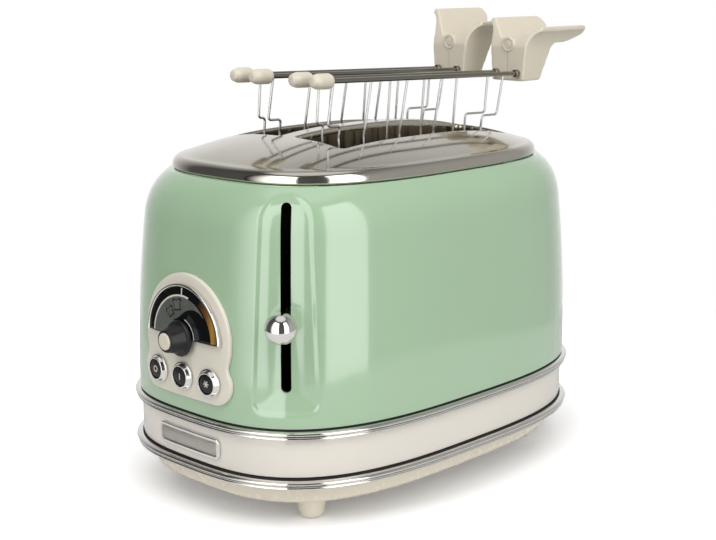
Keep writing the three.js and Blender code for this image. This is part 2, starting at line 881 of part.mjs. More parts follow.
function makeNamePlate() {
  const middle = (bandBottom + bandTop) / 2;
  const cut = (width, height, corner, from, to) => {
    const shape = roundedRectangle(width, height, corner, 0, middle);
    const prism = pushed(shape, at(-bodyLength, 0, 0), Y, Z, bodyLength / 2 + overrun, 3);
    return bandSpace(-to).subtract(bandSpace(-from)).intersect(prism);
  };
  const frame = cut(plateFrameWidth, plateFrameHeight, plateFrameCorner, seatGap, seatGap + plateFrameProud);
  const face = cut(
    plateFrameWidth - 2 * plateFrameBorder,
    plateFrameHeight - 2 * plateFrameBorder,
    plateFrameCorner - plateFrameBorder,
    seatGap + plateFaceDepth,
    plateFrameProud + overrun,
  );
  part('name_plate', frame.subtract(face), chrome());
}

// Chassis and bread wells

function makeChassis() {
  const low = panFloor + seatGap;
  let front = block(
    at(chassisStart, -chassisHalfWidth, low),
    at(chassisStart + chassisThickness, chassisHalfWidth, chassisTop),
  );
  for (const side of [-1, 1]) {
    const middle = side * slotCentre;
    const half = rackWidth / 2 + windowSideGap;
    const bottom = rackTop - rackHeight - leverTravel - windowEndGap;
    front = front.subtract(block(
      at(chassisStart - overrun, middle - half, bottom),
      at(chassisStart + overrun, middle + half, rackTop + windowEndGap),
    ));
  }
  const shelf = block(
    at(chassisStart - shelfReach, -shelfHalfWidth, chassisTop - shelfThickness),
    at(chassisStart + chassisThickness / 2, shelfHalfWidth, chassisTop),
  );
  part('front_chassis_plate', front.add(shelf), sheetSteel());
  const rear = block(
    at(chassisEnd - chassisThickness, -chassisHalfWidth, low),
    at(chassisEnd, chassisHalfWidth, chassisTop),
  ).subtract(block(
    at(chassisEnd - overrun, -trayHalfWidth - runGap, trayBottom - runGap),
    at(chassisEnd + overrun, trayHalfWidth + runGap, trayBottom + trayDepth + runGap),
  ));
  part('rear_chassis_plate', rear, sheetSteel());
}

// A flat frame with upright bars that keeps the bread off a heater
function guardSolid(middle) {
  const back = middle - guardThickness / 2;
  const front = middle + guardThickness / 2;
  let guard = block(at(wellStart, back, guardBottom), at(wellEnd, front, guardTop));
  const pitch = (wellLength - 2 * guardBorder + guardWireWidth) / (guardWireCount + 1);
  for (let window = 0; window <= guardWireCount; window += 1) {
    const left = wellStart + guardBorder + window * pitch;
    const low = at(left, back - overrun, guardBottom + guardBorder);
    const high = at(left + pitch - guardWireWidth, front + overrun, guardTop - guardBorder);
    guard = guard.subtract(block(low, high));
  }
  return guard;
}

function makeWells() {
  for (const [sideName, side] of [['near', -1], ['far', 1]]) {
    for (const [faceName, face] of [['outer', 1], ['inner', -1]]) {
      const middle = side * (slotCentre + face * guardOffset);
      part(`${sideName}_${faceName}_bread_guard`, guardSolid(middle), wireSteel());
    }
  }
  const places = [['near', -1], ['centre', 0], ['far', 1]];
  for (const [name, side] of places) {
    const middle = side * (slotCentre + heaterOffset);
    const low = at(wellStart, middle - heaterThickness / 2, heaterBottom);
    const high = at(wellEnd, middle + heaterThickness / 2, heaterTop);
    part(`${name}_heating_element`, block(low, high), mica());
  }
}

// Bread carriage, its guides, its spring and the magnet that holds it down

function makeCarriage() {
  let frame = block(
    at(carriageFace, -carriageHalfWidth, carriageBottom),
    at(carriageFace + carriageThickness, carriageHalfWidth, carriageTop),
  );
  for (const side of [-1, 1]) {
    const rack = block(
      at(carriageFace + carriageThickness / 2, side * slotCentre - rackWidth / 2, rackTop - rackHeight),
      at(rackEnd, side * slotCentre + rackWidth / 2, rackTop),
    );
    const place = (height) => at(guidePlace, side * guideAcross, height);
    const bush = bar(bushRadius, place(carriageBottom), place(carriageTop));
    const bore = bar(guideRadius + runGap, place(carriageBottom - overrun), place(carriageTop + overrun));
    frame = frame.add(rack).add(bush).subtract(bore);
    const rod = bar(guideRadius, place(panFloor + seatGap), place(chassisTop - shelfThickness - seatGap), 12);
    part(side < 0 ? 'near_guide_rod' : 'far_guide_rod', rod, chrome());
  }
  part('bread_carriage', frame, sheetSteel());
  const armature = block(
    at(guidePlace - armatureLength / 2, -armatureWidth / 2, armatureBottom),
    at(guidePlace + armatureLength / 2, armatureWidth / 2, armatureBottom + armatureThickness),
  );
  part('latch_armature', armature, darkIron());
  const spring = bar(
    springRadius,
    at(guidePlace, 0, carriageTop + seatGap),
    at(guidePlace, 0, chassisTop - shelfThickness - seatGap),
    10,
  );
  part('lift_spring', spring, wireSteel());
}

function makeElectromagnet() {
  const coil = block(
    at(guidePlace - magnetLength / 2, -magnetWidth / 2, magnetTop - magnetHeight),
    at(guidePlace + magnetLength / 2, magnetWidth / 2, magnetTop),
  );
  const post = block(
    at(guidePlace - magnetPostWidth / 2, -magnetPostWidth / 2, panFloor + seatGap),
    at(guidePlace + magnetPostWidth / 2, magnetPostWidth / 2, magnetTop - magnetHeight / 2),
  );
  part('electromagnet', coil.add(post), darkIron());
}

function makeLever() {
  const { point, out, across } = leverFrame();
  const ballCentre = along(point, out, leverBallReach);
  const tip = leverBallReach - leverBallRadius + leverBladeGrip;
  const reachBack = (point.x - carriageFace) / out.x + leverBladeWidth;
  const blade = (width, height, from, to) => {
    const shape = roundedRectangle(width, height, width * leverCornerShare);
    return pushed(shape, along(point, out, from), across, Z, to - from, 3);
  };
  const behind = block(
    at(carriageFace - seatGap, -bodyWidth, 0),
    at(bodyLength, bodyWidth, plateCrown),
  );
  const arm = blade(leverBladeWidth, leverBladeHeight, -reachBack, tip).subtract(behind);
  part('lever_arm', arm, sheetSteel());
  const ball = new THREE.SphereGeometry(leverBallRadius, 16, 10);
  ball.translate(ballCentre.x, ballCentre.y, ballCentre.z);
  const socket = blade(leverBladeWidth + 2 * seatGap, leverBladeHeight + 2 * seatGap, 0, tip + seatGap);
  part('lever_knob', solidOf(ball).subtract(socket), chrome());
}

// Sandwich tongs

// The two cages of a tong are one part turned end for end, the rear one set a little back
function cageSolid(middle, isRear) {
  const shift = isRear ? cageRearShift : 0;
  const upperStart = cageUpperStart + shift;
  const upperEnd = cageUpperEnd + shift;
  const spot = (x, z) => at(x, middle, z);
  const wire = (from, to) => bar(wireRadius, from, to, 4);
  const frameWire = [
    spot(upperStart, rodHeight),
    spot(upperStart, cageShoulderHeight),
    spot(cageLowerStart, cageShoulderHeight),
    spot(cageLowerStart, cageBottom),
    spot(cageLowerEnd, cageBottom),
    spot(cageLowerEnd, cageShoulderHeight),
    spot(upperEnd, cageShoulderHeight),
    spot(upperEnd, rodHeight),
  ];
  let cage = bar(rodRadius, spot(rodStart, rodHeight), spot(handleStart + rodGrip, rodHeight), 6);
  cage = cage.add(bar(
    collarRadius,
    spot(handleStart - seatGap - collarLength, rodHeight),
    spot(handleStart - seatGap, rodHeight),
    10,
  ));
  for (let index = 1; index < frameWire.length; index += 1) {
    const from = frameWire[index - 1];
    const to = frameWire[index];
    const direction = to.clone().sub(from).normalize();
    cage = cage.add(wire(from, along(to, direction, index < frameWire.length - 1 ? wireRadius : 0)));
  }
  for (let index = 1; index <= uprightCount; index += 1) {
    const x = isRear ? upperEnd - index * uprightPitch : upperStart + index * uprightPitch;
    cage = cage.add(wire(spot(x, cageBottom), spot(x, rodHeight)));
  }
  return cage;
}

function bulbSolid(middle) {
  const profile = [
    [0, 0],
    [bulbEndRadius, 0],
    [bulbRadius, bulbEndLength],
    [bulbRadius, bulbLength - bulbNeckLength],
    [bulbNeckRadius, bulbLength],
    [0, bulbLength],
  ];
  const bore = bar(
    rodRadius + seatGap,
    at(rodStart - seatGap, middle, rodHeight),
    at(handleStart, middle, rodHeight),
    8,
  );
  return turned(profile, at(bulbStart, middle, rodHeight), X, 12).subtract(bore);
}

// The handle's side view: a narrow foot that sweeps up and away to a lip
function handleSide() {
  const lipBottom = handleTop - handleLipThickness;
  const shape = new THREE.Shape();
  shape.moveTo(handleStart, handleBottom);
  shape.lineTo(handleStart + handleFootLength, handleBottom);
  shape.quadraticCurveTo(
    handleStart + handleFootLength + handleLean,
    handleTop - handleLipRise,
    handleEnd - handleFootLength,
    handleTop - handleLipRise,
  );
  shape.quadraticCurveTo(handleEnd - handleLean, handleTop - handleLipRise, handleEnd, lipBottom);
  shape.quadraticCurveTo(handleEnd, handleTop, handleEnd - handleLipThickness, handleTop);
  shape.lineTo(handleStart + handleLean, handleTop);
  return shape;
}

// Half of the handle's end view, from the tong's middle plane out to the flared wing
function handleHalfEnd(side) {
  const shape = new THREE.Shape();
  shape.moveTo(side * handleMidGap, handleBottom);
  shape.lineTo(side * handleFootWidth, handleBottom);
  shape.lineTo(side * handleWaistWidth, handlePivotHeight - knuckleRadius);
  shape.quadraticCurveTo(side * handleWaistWidth, handlePivotHeight, side * handleWingWidth, handleTop);
  shape.lineTo(side * (handleWingWidth - handleWingWall), handleTop);
  shape.quadraticCurveTo(side * handleFootWidth, handleSaddleHeight, side * handleMidGap, handleSaddleHeight);
  return shape;
}

function handleSolid(middle, side, knuckleStart, knuckleEnd) {
  const sideView = pushed(handleSide(), at(0, middle + overrun, 0), X, Z, 2 * overrun, 4);
  const endStart = at(handleStart - overrun, middle, 0);
  const endView = pushed(handleHalfEnd(side), endStart, Y, Z, handleReach + 2 * overrun, 3);
  const spot = (x) => at(x, middle, handlePivotHeight);
  const pinHole = bar(pinRadius + seatGap, spot(handleStart - overrun), spot(handleEnd));
  const knuckle = bar(knuckleRadius, spot(knuckleStart), spot(knuckleEnd), 16);
  const clearRadius = knuckleRadius + runGap;
  const footEnd = handleStart + handleFootLength + runGap;
  const otherStart = bar(clearRadius, spot(handleStart - overrun), spot(knuckleStart - runGap), 16);
  const otherEnd = bar(clearRadius, spot(knuckleEnd + runGap), spot(footEnd), 16);
  const rodHole = bar(
    rodRadius + seatGap,
    at(handleStart - overrun, middle + side * tongHalfGap, rodHeight),
    at(handleStart + rodGrip + seatGap, middle + side * tongHalfGap, rodHeight),
    12,
  );
  return sideView.intersect(endView).subtract(otherStart).subtract(otherEnd).add(knuckle)
    .subtract(pinHole).subtract(rodHole);
}

function makeTong(name, middle) {
  const knuckleMiddle = handleStart + handleFootLength / 2;
  const knuckleEnd = handleStart + handleFootLength;
  const halves = [
    ['front', -1, handleStart + knuckleInset, knuckleMiddle],
    ['rear', 1, knuckleMiddle + runGap, knuckleEnd],
  ];
  for (const [halfName, side, start, end] of halves) {
    const offset = middle + side * tongHalfGap;
    part(`${name}_${halfName}_cage`, cageSolid(offset, halfName === 'rear'), wireSteel());
    part(`${name}_${halfName}_tip`, bulbSolid(offset), creamPlastic());
    part(`${name}_${halfName}_handle`, handleSolid(middle, side, start, end), creamPlastic());
  }
  const pin = bar(
    pinRadius,
    at(handleStart + pinInset, middle, handlePivotHeight),
    at(knuckleEnd, middle, handlePivotHeight),
    10,
  );
  part(`${name}_pin`, pin, wireSteel());
}

makeFeet();
makeBasePan();
part('lower_trim_band', bead(lowerBeadBottom), chrome());
makeBaseBand();
part('upper_trim_band', bead(upperBeadBottom), chrome());
makeShell();
makeTopPlate();
makeControlPanel();
makeDial();
makeKnob();
makeButtons();
makeNamePlate();
makeCordGland();
makeCrumbTray();
makeChassis();
makeWells();
makeControlBoard();
makeElectromagnet();
makeCarriage();
makeLever();
makeTong('near_tong', -slotCentre);
makeTong('far_tong', slotCentre);

// The knob's cap and the tongs' handles reach furthest along the length
const knobFace = bodyLength / 2 - wallDraft(dialHeight) + dialFace + seatGap + knobLength;
const capFace = knobFace - knobCapDepth + seatGap + knobCapThickness;
toaster.position.x = -(handleEnd - capFace) / 2;

export default toaster;
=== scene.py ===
"""The looks of a retro two-slice toaster with sandwich tongs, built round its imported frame.

Metres, +Z up. The controls are at the -X end and the lever is at the -Y side of that end.
"""

import json
import math

import bmesh
import bpy
from mathutils import Matrix, Vector

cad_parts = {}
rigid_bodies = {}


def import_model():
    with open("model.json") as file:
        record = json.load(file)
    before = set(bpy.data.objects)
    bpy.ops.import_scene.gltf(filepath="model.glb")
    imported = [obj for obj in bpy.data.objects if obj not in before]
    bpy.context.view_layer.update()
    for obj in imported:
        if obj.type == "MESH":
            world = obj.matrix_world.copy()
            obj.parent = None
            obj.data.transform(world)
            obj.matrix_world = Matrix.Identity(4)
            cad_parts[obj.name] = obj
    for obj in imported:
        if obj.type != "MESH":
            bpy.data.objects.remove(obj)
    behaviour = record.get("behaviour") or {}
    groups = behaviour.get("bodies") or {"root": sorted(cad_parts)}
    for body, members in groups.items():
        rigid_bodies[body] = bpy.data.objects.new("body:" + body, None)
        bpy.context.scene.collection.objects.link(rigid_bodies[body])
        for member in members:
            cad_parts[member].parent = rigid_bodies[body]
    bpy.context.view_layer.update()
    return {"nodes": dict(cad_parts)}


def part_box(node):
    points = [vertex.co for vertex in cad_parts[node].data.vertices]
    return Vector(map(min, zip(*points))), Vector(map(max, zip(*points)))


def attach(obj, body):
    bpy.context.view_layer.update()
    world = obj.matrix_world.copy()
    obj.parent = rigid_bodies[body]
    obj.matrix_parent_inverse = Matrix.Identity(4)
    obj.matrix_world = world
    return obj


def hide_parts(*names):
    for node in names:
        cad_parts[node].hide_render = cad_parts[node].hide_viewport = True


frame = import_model()

UP = Vector((0, 0, 1))
ALONG = Vector((1, 0, 0))
ACROSS = Vector((0, 1, 0))
QUARTER = math.pi / 2

# The housing's outline and wall, read from the frame
shell_low, shell_high = (Vector(corner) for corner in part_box("outer_shell"))
HOUSING_CENTRE = (shell_low.x + shell_high.x) / 2
HALF_LENGTH = (shell_high.x - shell_low.x) / 2
HALF_WIDTH = (shell_high.y - shell_low.y) / 2
SHELL_BOTTOM = shell_low.z
SHELL_TOP = shell_high.z
OVAL_POWER = 3
WIDTH_DRAFT_SHARE = 0.7
SHELL_THICKNESS = 0.002
SHOULDER_DROP = 0.028
SHOULDER_DRAFT = 0.007
SHOULDER_RISE = 0.019
SHELL_TOP_DRAFT = 0.024
SHELL_FLANGE = 0.006
SHOULDER_BOTTOM = SHELL_TOP - SHOULDER_DROP

# Recess and slot of the lever
LEVER_ACROSS = -0.068
RECESS_BOTTOM = 0.073
RECESS_TOP = 0.204
RECESS_HALF_BOTTOM = 0.021
RECESS_HALF_TOP = 0.0165
RECESS_CORNER = 0.008
RECESS_STEP = 0.0011
RECESS_STEP_WIDTH = 0.0032
RECESS_DISH = 0.0019
RECESS_DISH_WIDTH = 0.016
LEVER_SLOT_WIDTH = 0.0062
LEVER_SLOT_BOTTOM = 0.087
LEVER_SLOT_TOP = 0.198

# Trim beads, and the black strips of painted shade over them
BEAD_UPPER_PROUD = 0.0032
BEAD_LOWER_PROUD = 0.0023
BEAD_SPLIT = 0.56
BEAD_INSET = 0.003
SHADOW_STRIP_HEIGHT = 0.0008
SHADOW_STRIP_INSET = 0.0004

# Base band and base pan
BAND_INSET = 0.001
BAND_WALL = 0.0025
BAND_EDGE = 0.0006
BAND_GAP = 0.0004
GLAND_BORE = 0.0058
PAN_HEIGHT = 0.0127
PAN_INSET = 0.008
PAN_WALL = 0.0025
PAN_FLANGE_INSET = 0.002
PAN_FLANGE_THICKNESS = 0.0012
PAN_FLOOR_INSET = 0.02

# Top plate and bread slots
PLATE_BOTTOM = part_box("top_plate")[0][2]
PLATE_DRAFT = 0.026
PLATE_FLANGE = 0.004
PLATE_EDGE_RADIUS = 0.0015
PLATE_RIM_HEIGHT = 0.008
PLATE_RIM_RADIUS = 0.0058
PLATE_DOME_RISE = 0.0155
PLATE_DOME_POWER = 2.5
PLATE_THICKNESS = 0.0012
SLOT_START = HOUSING_CENTRE - 0.0665
SLOT_LENGTH = 0.159
SLOT_WIDTH = 0.042
SLOT_ACROSS = 0.0275
SLOT_CORNER = 0.003
SLOT_ROLL = 0.0015
SLOT_LIP = 0.0025
SLOT_WALL_DEPTH = 0.012
SLOTS_REACH_ALONG = 0.105
SLOTS_REACH_ACROSS = 0.054

# Control panel
PANEL_GAP = 0.0003
PANEL_THICKNESS = 0.0022
DIAL_HEIGHT = 0.1125
PANEL_RADIUS = 0.039
PANEL_BAR_WIDTH = 0.080
PANEL_BAR_HEIGHT = 0.026
PANEL_BAR_CENTRE = 0.088
PANEL_WAIST = 0.008
BUTTON_HEIGHT = 0.0885
BUTTON_PITCH = 0.0237
DIAL_FOOT = PANEL_GAP + PANEL_THICKNESS + 0.0003
DIAL_RADIUS = 0.031
DIAL_THICKNESS = 0.002
DIAL_TOP = DIAL_FOOT + DIAL_THICKNESS
PRINT_THICKNESS = 0.00006
SCALE_INNER = 0.0122
SCALE_OUTER = 0.0253
# Where the scale starts, how far it goes round, and where and over what it narrows, in degrees
SCALE_START = 178
SCALE_SWEEP = 140
SCALE_NARROW_START = 108
SCALE_NARROW_SWEEP = 72
BEZEL_WIDTH = 0.0018
BEZEL_THICKNESS = 0.0028
BUTTON_RADIUS = 0.006
BUTTON_FACE = 0.0054
BUTTON_REACH = 0.0159
RING_RADIUS = 0.009
RING_STEP_RADIUS = 0.0081
RING_TOP_RADIUS = 0.0072
RING_FLANGE = 0.0012
RING_HEIGHT = 0.0034
SHAFT_HOLE = 0.0033
KNOB_LENGTH = 0.012
KNOB_COLLAR_RADIUS = 0.0115
KNOB_COLLAR_HEIGHT = 0.0025
KNOB_BASE_RADIUS = 0.009
KNOB_FRONT_RADIUS = 0.0068
KNOB_CAP_RADIUS = 0.0052

# Sandwich tongs, placed by their handles and cages
handle_low, handle_high = (Vector(corner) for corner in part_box("near_tong_front_handle"))
pin_low, pin_high = (Vector(corner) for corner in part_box("near_tong_pin"))
TONG_ACROSS = 0.027
TONG_HALF_GAP = 0.009
ROD_RADIUS = 0.0016
WIRE_RADIUS = 0.0008
CAGE_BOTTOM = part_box("near_tong_front_cage")[0][2]
CAGE_SHOULDER_DROP = 0.028
CAGE_UPRIGHTS = 3
CAGE_PITCH = 0.0336
CAGE_UPPER_START = HOUSING_CENTRE - 0.061
CAGE_LOWER_START = HOUSING_CENTRE - 0.050
CAGE_LOWER_END = HOUSING_CENTRE + 0.0895
CAGE_UPPER_END = HOUSING_CENTRE + 0.105
CAGE_REAR_SHIFT = 0.0055
CAGE_KNEE_DROP = 0.036
FRONT_CAGE_LEAN = 0.16
REAR_CAGE_LEAN = 0.06
BULB_LENGTH = 0.0158
BULB_RADIUS = 0.0048
BULB_START = HOUSING_CENTRE - 0.0795
ROD_START = BULB_START + 0.006
ROD_GRIP = 0.010
TONG_TILT = math.radians(1.65)
HANDLE_START = handle_low.x
HANDLE_END = handle_high.x
HANDLE_BOTTOM = handle_low.z
HANDLE_TOP = handle_high.z
ROD_HEIGHT = HANDLE_BOTTOM + 0.0055
HANDLE_FOOT = 0.020
HANDLE_SWEEP = 0.010
HANDLE_SWEEP_DROP = 0.017
HANDLE_LIP_RISE = 0.015
HANDLE_SADDLE = HANDLE_TOP - 0.0108
HANDLE_SADDLE_WIDTH = 0.0075
HANDLE_PIVOT = HANDLE_TOP - 0.0155
HANDLE_LEDGE = 0.0032
HANDLE_END_ROUND = 0.005
WING_RISES = {"near": (-0.0033, 0.002), "far": (-0.001, 0.007)}
HANDLE_FOOT_WIDTH = 0.0135
HANDLE_WAIST_WIDTH = 0.0155
HANDLE_WING_WIDTH = 0.023
HANDLE_WING_WALL = 0.0036
HANDLE_GAP = 0.00015
HANDLE_OPENING = math.radians(3.3)
HANDLE_PIN = (pin_low.z + pin_high.z) / 2


def leave_all():
    bpy.ops.object.select_all(action="DESELECT")


def choose(piece):
    leave_all()
    piece.select_set(True)
    bpy.context.view_layer.objects.active = piece


def open_mesh(piece):
    choose(piece)
    bpy.ops.object.mode_set(mode="EDIT")
    bpy.ops.mesh.select_all(action="DESELECT")


def close_mesh():
    bpy.ops.object.mode_set(mode="OBJECT")


def pick(kind, test):
    """Selects the vertices, edges or faces of the open mesh that pass a test."""
    bpy.ops.mesh.select_mode(type=kind)
    bpy.ops.mesh.select_all(action="DESELECT")
    mesh = bmesh.from_edit_mesh(bpy.context.object.data)
    items = {"VERT": mesh.verts, "EDGE": mesh.edges, "FACE": mesh.faces}[kind]
    for item in items:
        if test(item):
            item.select_set(True)
    bmesh.update_edit_mesh(bpy.context.object.data)


def middle(edge):
    return (edge.verts[0].co + edge.verts[1].co) / 2


def outward():
    """Turns every face of the open mesh outwards."""
    bpy.ops.mesh.select_all(action="SELECT")
    bpy.ops.mesh.normals_make_consistent(inside=False)


def faced_out(piece):
    open_mesh(piece)
    outward()
    close_mesh()
    return piece


def named(name):
    """The piece that was just added, under its name."""
    piece = bpy.context.object
    piece.name = name
    return piece


def settle():
    """Puts the chosen piece's place into its mesh."""
    bpy.ops.object.transform_apply(location=True, rotation=True, scale=True)


def block(name, low, high):
    leave_all()
    size = Vector(high) - Vector(low)
    bpy.ops.mesh.primitive_cube_add(size=1, location=(Vector(low) + Vector(high)) / 2, scale=size)
    piece = named(name)
    settle()
    return piece


def rounded_block(name, low, high, axis, radius):
    """A block whose edges along an axis are rounded."""
    piece = block(name, low, high)
    open_mesh(piece)
    pick("EDGE", lambda edge: abs((edge.verts[0].co - edge.verts[1].co).dot(axis)) > 0.001)
    bpy.ops.mesh.bevel(offset=radius, segments=10)
    close_mesh()
    return piece


def rod(name, radius, start, end, sides=32):
    leave_all()
    line = Vector(end) - Vector(start)
    bpy.ops.mesh.primitive_cylinder_add(
        vertices=sides,
        radius=radius,
        depth=line.length,
        location=(Vector(start) + Vector(end)) / 2,
        rotation=UP.rotation_difference(line).to_euler(),
    )
    piece = named(name)
    settle()
    return piece


def circle_point(angle, half_x, half_y):
    return half_x * math.cos(angle), half_y * math.sin(angle)


def oval_point(angle, half_x, half_y):
    """A point of the housing's oval in a direction from its middle."""
    share_x = abs(math.cos(angle)) / half_x
    share_y = abs(math.sin(angle)) / half_y
    reach = (share_x**OVAL_POWER + share_y**OVAL_POWER) ** (-1 / OVAL_POWER)
    return reach * math.cos(angle), reach * math.sin(angle)


def even_angles(count):
    return [2 * math.pi * step / count for step in range(count)]


def drawn(name, sections, angles, outline=circle_point, joined=False):
    """A skin drawn through level sections, each (half size along x, along y, height).

    A ring is set to the first section and extruded through the rest. A section of no size
    closes the skin to a point. A joined skin closes on its first section.
    """
    half_x, half_y, height = sections[0]
    leave_all()
    bpy.ops.mesh.primitive_circle_add(vertices=len(angles), radius=half_x)
    piece = named(name)
    for vertex, angle in zip(piece.data.vertices, angles):
        vertex.co = (*outline(angle, half_x, half_y), height)
    bpy.ops.object.mode_set(mode="EDIT")
    bpy.ops.mesh.select_mode(type="EDGE")
    bpy.ops.mesh.select_all(action="SELECT")
    for next_x, next_y, next_height in sections[1:]:
        bpy.ops.mesh.extrude_edges_move()
        if next_x == 0:
            bpy.ops.transform.translate(value=(0, 0, next_height - height))
            bpy.ops.mesh.merge(type="CENTER")
            break
        bpy.ops.transform.resize(
            value=(next_x / half_x, next_y / half_y, 1), center_override=(0, 0, height)
        )
        bpy.ops.transform.translate(value=(0, 0, next_height - height))
        half_x, half_y, height = next_x, next_y, next_height
    if joined:
        pick("EDGE", lambda edge: edge.is_boundary)
        bpy.ops.mesh.bridge_edge_loops()
    outward()
    close_mesh()
    return piece


def close_ends(piece):
    """Fills each open end of a skin with one face."""
    open_mesh(piece)
    mesh = bmesh.from_edit_mesh(piece.data)
    heights = sorted({round(middle(edge).z, 6) for edge in mesh.edges if edge.is_boundary})
    for height in heights:
        pick("EDGE", lambda edge: edge.is_boundary and abs(middle(edge).z - height) < 1e-5)
        bpy.ops.mesh.edge_face_add()
    outward()
    close_mesh()


def place(piece, origin, axis):
    """Moves a piece made about the Z axis to an origin, with Z turned to an axis."""
    turn = UP.rotation_difference(Vector(axis)).to_matrix().to_4x4()
    piece.matrix_world = Matrix.Translation(origin) @ turn
    choose(piece)
    settle()


def eased(points, steps=4):
    """A profile whose corners are rounded. Each point is (across, up, corner radius)."""
    path = []
    last = len(points) - 1
    for index, (across, up, radius) in enumerate(points):
        here = Vector((across, up))
        if radius == 0 or index in (0, last):
            path.append(tuple(here))
            continue
        entry = (here - Vector(points[index - 1][:2])).normalized()
        leaving = (Vector(points[index + 1][:2]) - here).normalized()
        half_turn = entry.angle(leaving) / 2
        centre = here + (leaving - entry).normalized() * (radius / math.cos(half_turn))
        start = here - entry * radius * math.tan(half_turn) - centre
        end = here + leaving * radius * math.tan(half_turn) - centre
        for step in range(steps + 1):
            path.append(tuple(centre + start.slerp(end, step / steps) * radius))
    return path


def turned(name, points, origin, axis, sides=64, steps=4, joined=False):
    """A turned piece from a profile of (radius, distance along the axis, corner radius)."""
    sections = [(radius, radius, height) for radius, height in eased(points, steps)]
    piece = drawn(name, sections, even_angles(sides), joined=joined)
    if not joined:
        close_ends(piece)
    place(piece, origin, axis)
    return piece


def changed(piece, kind, **settings):
    """Gives a piece a modifier with its settings, and applies it."""
    choose(piece)
    change = piece.modifiers.new("change", kind)
    for name, value in settings.items():
        setattr(change, name, value)
    bpy.ops.object.modifier_apply(modifier=change.name)


def reshaped(piece, other, operation):
    """Cuts, joins or crosses a piece with another, which is used up."""
    changed(piece, "BOOLEAN", operation=operation, solver="EXACT", object=other)
    bpy.data.objects.remove(other)
    return piece


def thickened(piece, thickness):
    """Gives an open skin a wall on its inner side."""
    changed(piece, "SOLIDIFY", thickness=thickness, offset=-1, use_even_offset=True)


def sliced(piece, direction, start, end, pitch):
    """Cuts a piece's faces in level steps, so that it can follow a curve."""
    open_mesh(piece)
    count = int((end - start) / pitch)
    for step in range(1, count + 1):
        bpy.ops.mesh.select_all(action="SELECT")
        point = Vector(direction) * (start + step * (end - start) / (count + 1))
        bpy.ops.mesh.bisect(plane_co=point, plane_no=direction)
    close_mesh()


def finished(piece, body, nodes, material, angle=35):
    """Smooths a piece, gives it its material and puts it on its body in place of its nodes."""
    choose(piece)
    bpy.ops.object.shade_smooth_by_angle(angle=math.radians(angle))
    piece.data.materials.clear()
    piece.data.materials.append(material)
    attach(piece, body)
    if nodes:
        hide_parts(*nodes)
    return piece


def copied(piece, name, offset=(0, 0, 0)):
    """A copy with its own mesh, moved by an offset."""
    twin = piece.copy()
    twin.data = piece.data.copy()
    twin.name = name
    bpy.context.collection.objects.link(twin)
    twin.data.transform(Matrix.Translation(offset))
    return twin


def merged(pieces):
    """Joins pieces into the first."""
    leave_all()
    for piece in pieces:
        piece.select_set(True)
    bpy.context.view_layer.objects.active = pieces[0]
    bpy.ops.object.join()
    return pieces[0]


# Housing shape


def half_sizes(draft, inset=0.0):
    return HALF_LENGTH - draft - inset, HALF_WIDTH - draft * WIDTH_DRAFT_SHARE - inset


def wall_draft(height):
    share = (height - SHELL_BOTTOM) / (SHOULDER_BOTTOM - SHELL_BOTTOM)
    return SHOULDER_DRAFT * share**2


def wall_spot(across, height, sizes=None):
    """The point of the wall at the control end, and its level outward direction."""
    half_x, half_y = sizes or half_sizes(wall_draft(height))
    share = min(abs(across) / half_y, 1)
    reach = (1 - share**OVAL_POWER) ** (1 / OVAL_POWER)
    out = Vector(
        (
            -(reach ** (OVAL_POWER - 1)) / half_x,
            math.copysign(share ** (OVAL_POWER - 1) / half_y, across),
            0,
        )
    )
    return Vector((HOUSING_CENTRE - reach * half_x, across, height)), out.normalized()


def smooth_step(value):
    value = min(max(value, 0), 1)
    return value * value * (3 - 2 * value)


def corner_frame():
    """The middle of the lever's corner, its outward direction and the direction across it."""
    point, out = wall_spot(LEVER_ACROSS, (RECESS_BOTTOM + RECESS_TOP) / 2)
    point.z = 0
    return point, out, out.cross(UP)


def recess_inset(across, height):
    """How far a spot of the corner lies inside the recess's arched outline."""
    spring = RECESS_TOP - RECESS_HALF_TOP
    if height > spring:
        return RECESS_HALF_TOP - math.hypot(across, height - spring)
    taper = (spring - height) / (spring - RECESS_BOTTOM)
    half = RECESS_HALF_TOP + (RECESS_HALF_BOTTOM - RECESS_HALF_TOP) * min(taper, 1)
    side = half - abs(across)
    foot = height - RECESS_BOTTOM
    if side < RECESS_CORNER and foot < RECESS_CORNER:
        return RECESS_CORNER - math.hypot(RECESS_CORNER - side, RECESS_CORNER - foot)
    return min(side, foot)


def recess_depth(across, height):
    inset = recess_inset(across, height)
    step = RECESS_STEP * smooth_step(inset / RECESS_STEP_WIDTH)
    return step + RECESS_DISH * smooth_step(inset / RECESS_DISH_WIDTH)


def shell_angles():
    """Directions round the housing, close together at the lever's corner."""
    point, _, _ = corner_frame()
    corner = math.atan2(point.y, point.x - HOUSING_CENTRE) % (2 * math.pi)
    close = math.radians(11)
    fine = 84
    coarse = 250
    span = 2 * math.pi - 2 * close
    angles = [corner - close + 2 * close * step / fine for step in range(fine)]
    angles += [corner + close + span * step / coarse for step in range(coarse)]
    return angles


def shell_heights():
    """Levels of the wall, close together at the recess's foot."""
    levels = [SHELL_BOTTOM]
    foot_top = RECESS_BOTTOM + 1.6 * RECESS_CORNER
    while levels[-1] < foot_top:
        levels.append(levels[-1] + 0.0011)
    count = 40
    start = levels[-1]
    levels += [start + (SHOULDER_BOTTOM - start) * step / count for step in range(1, count)]
    return levels


def shoulder(share):
    """The shoulder's (draft, height) at a share of its curve."""
    slope = 2 * SHOULDER_DRAFT / (SHOULDER_BOTTOM - SHELL_BOTTOM)
    start = Vector((SHOULDER_DRAFT, SHOULDER_BOTTOM))
    control = start + Vector((slope, 1)) * SHOULDER_RISE
    end = Vector((SHELL_TOP_DRAFT, SHELL_TOP))
    return start * (1 - share) ** 2 + control * 2 * share * (1 - share) + end * share**2


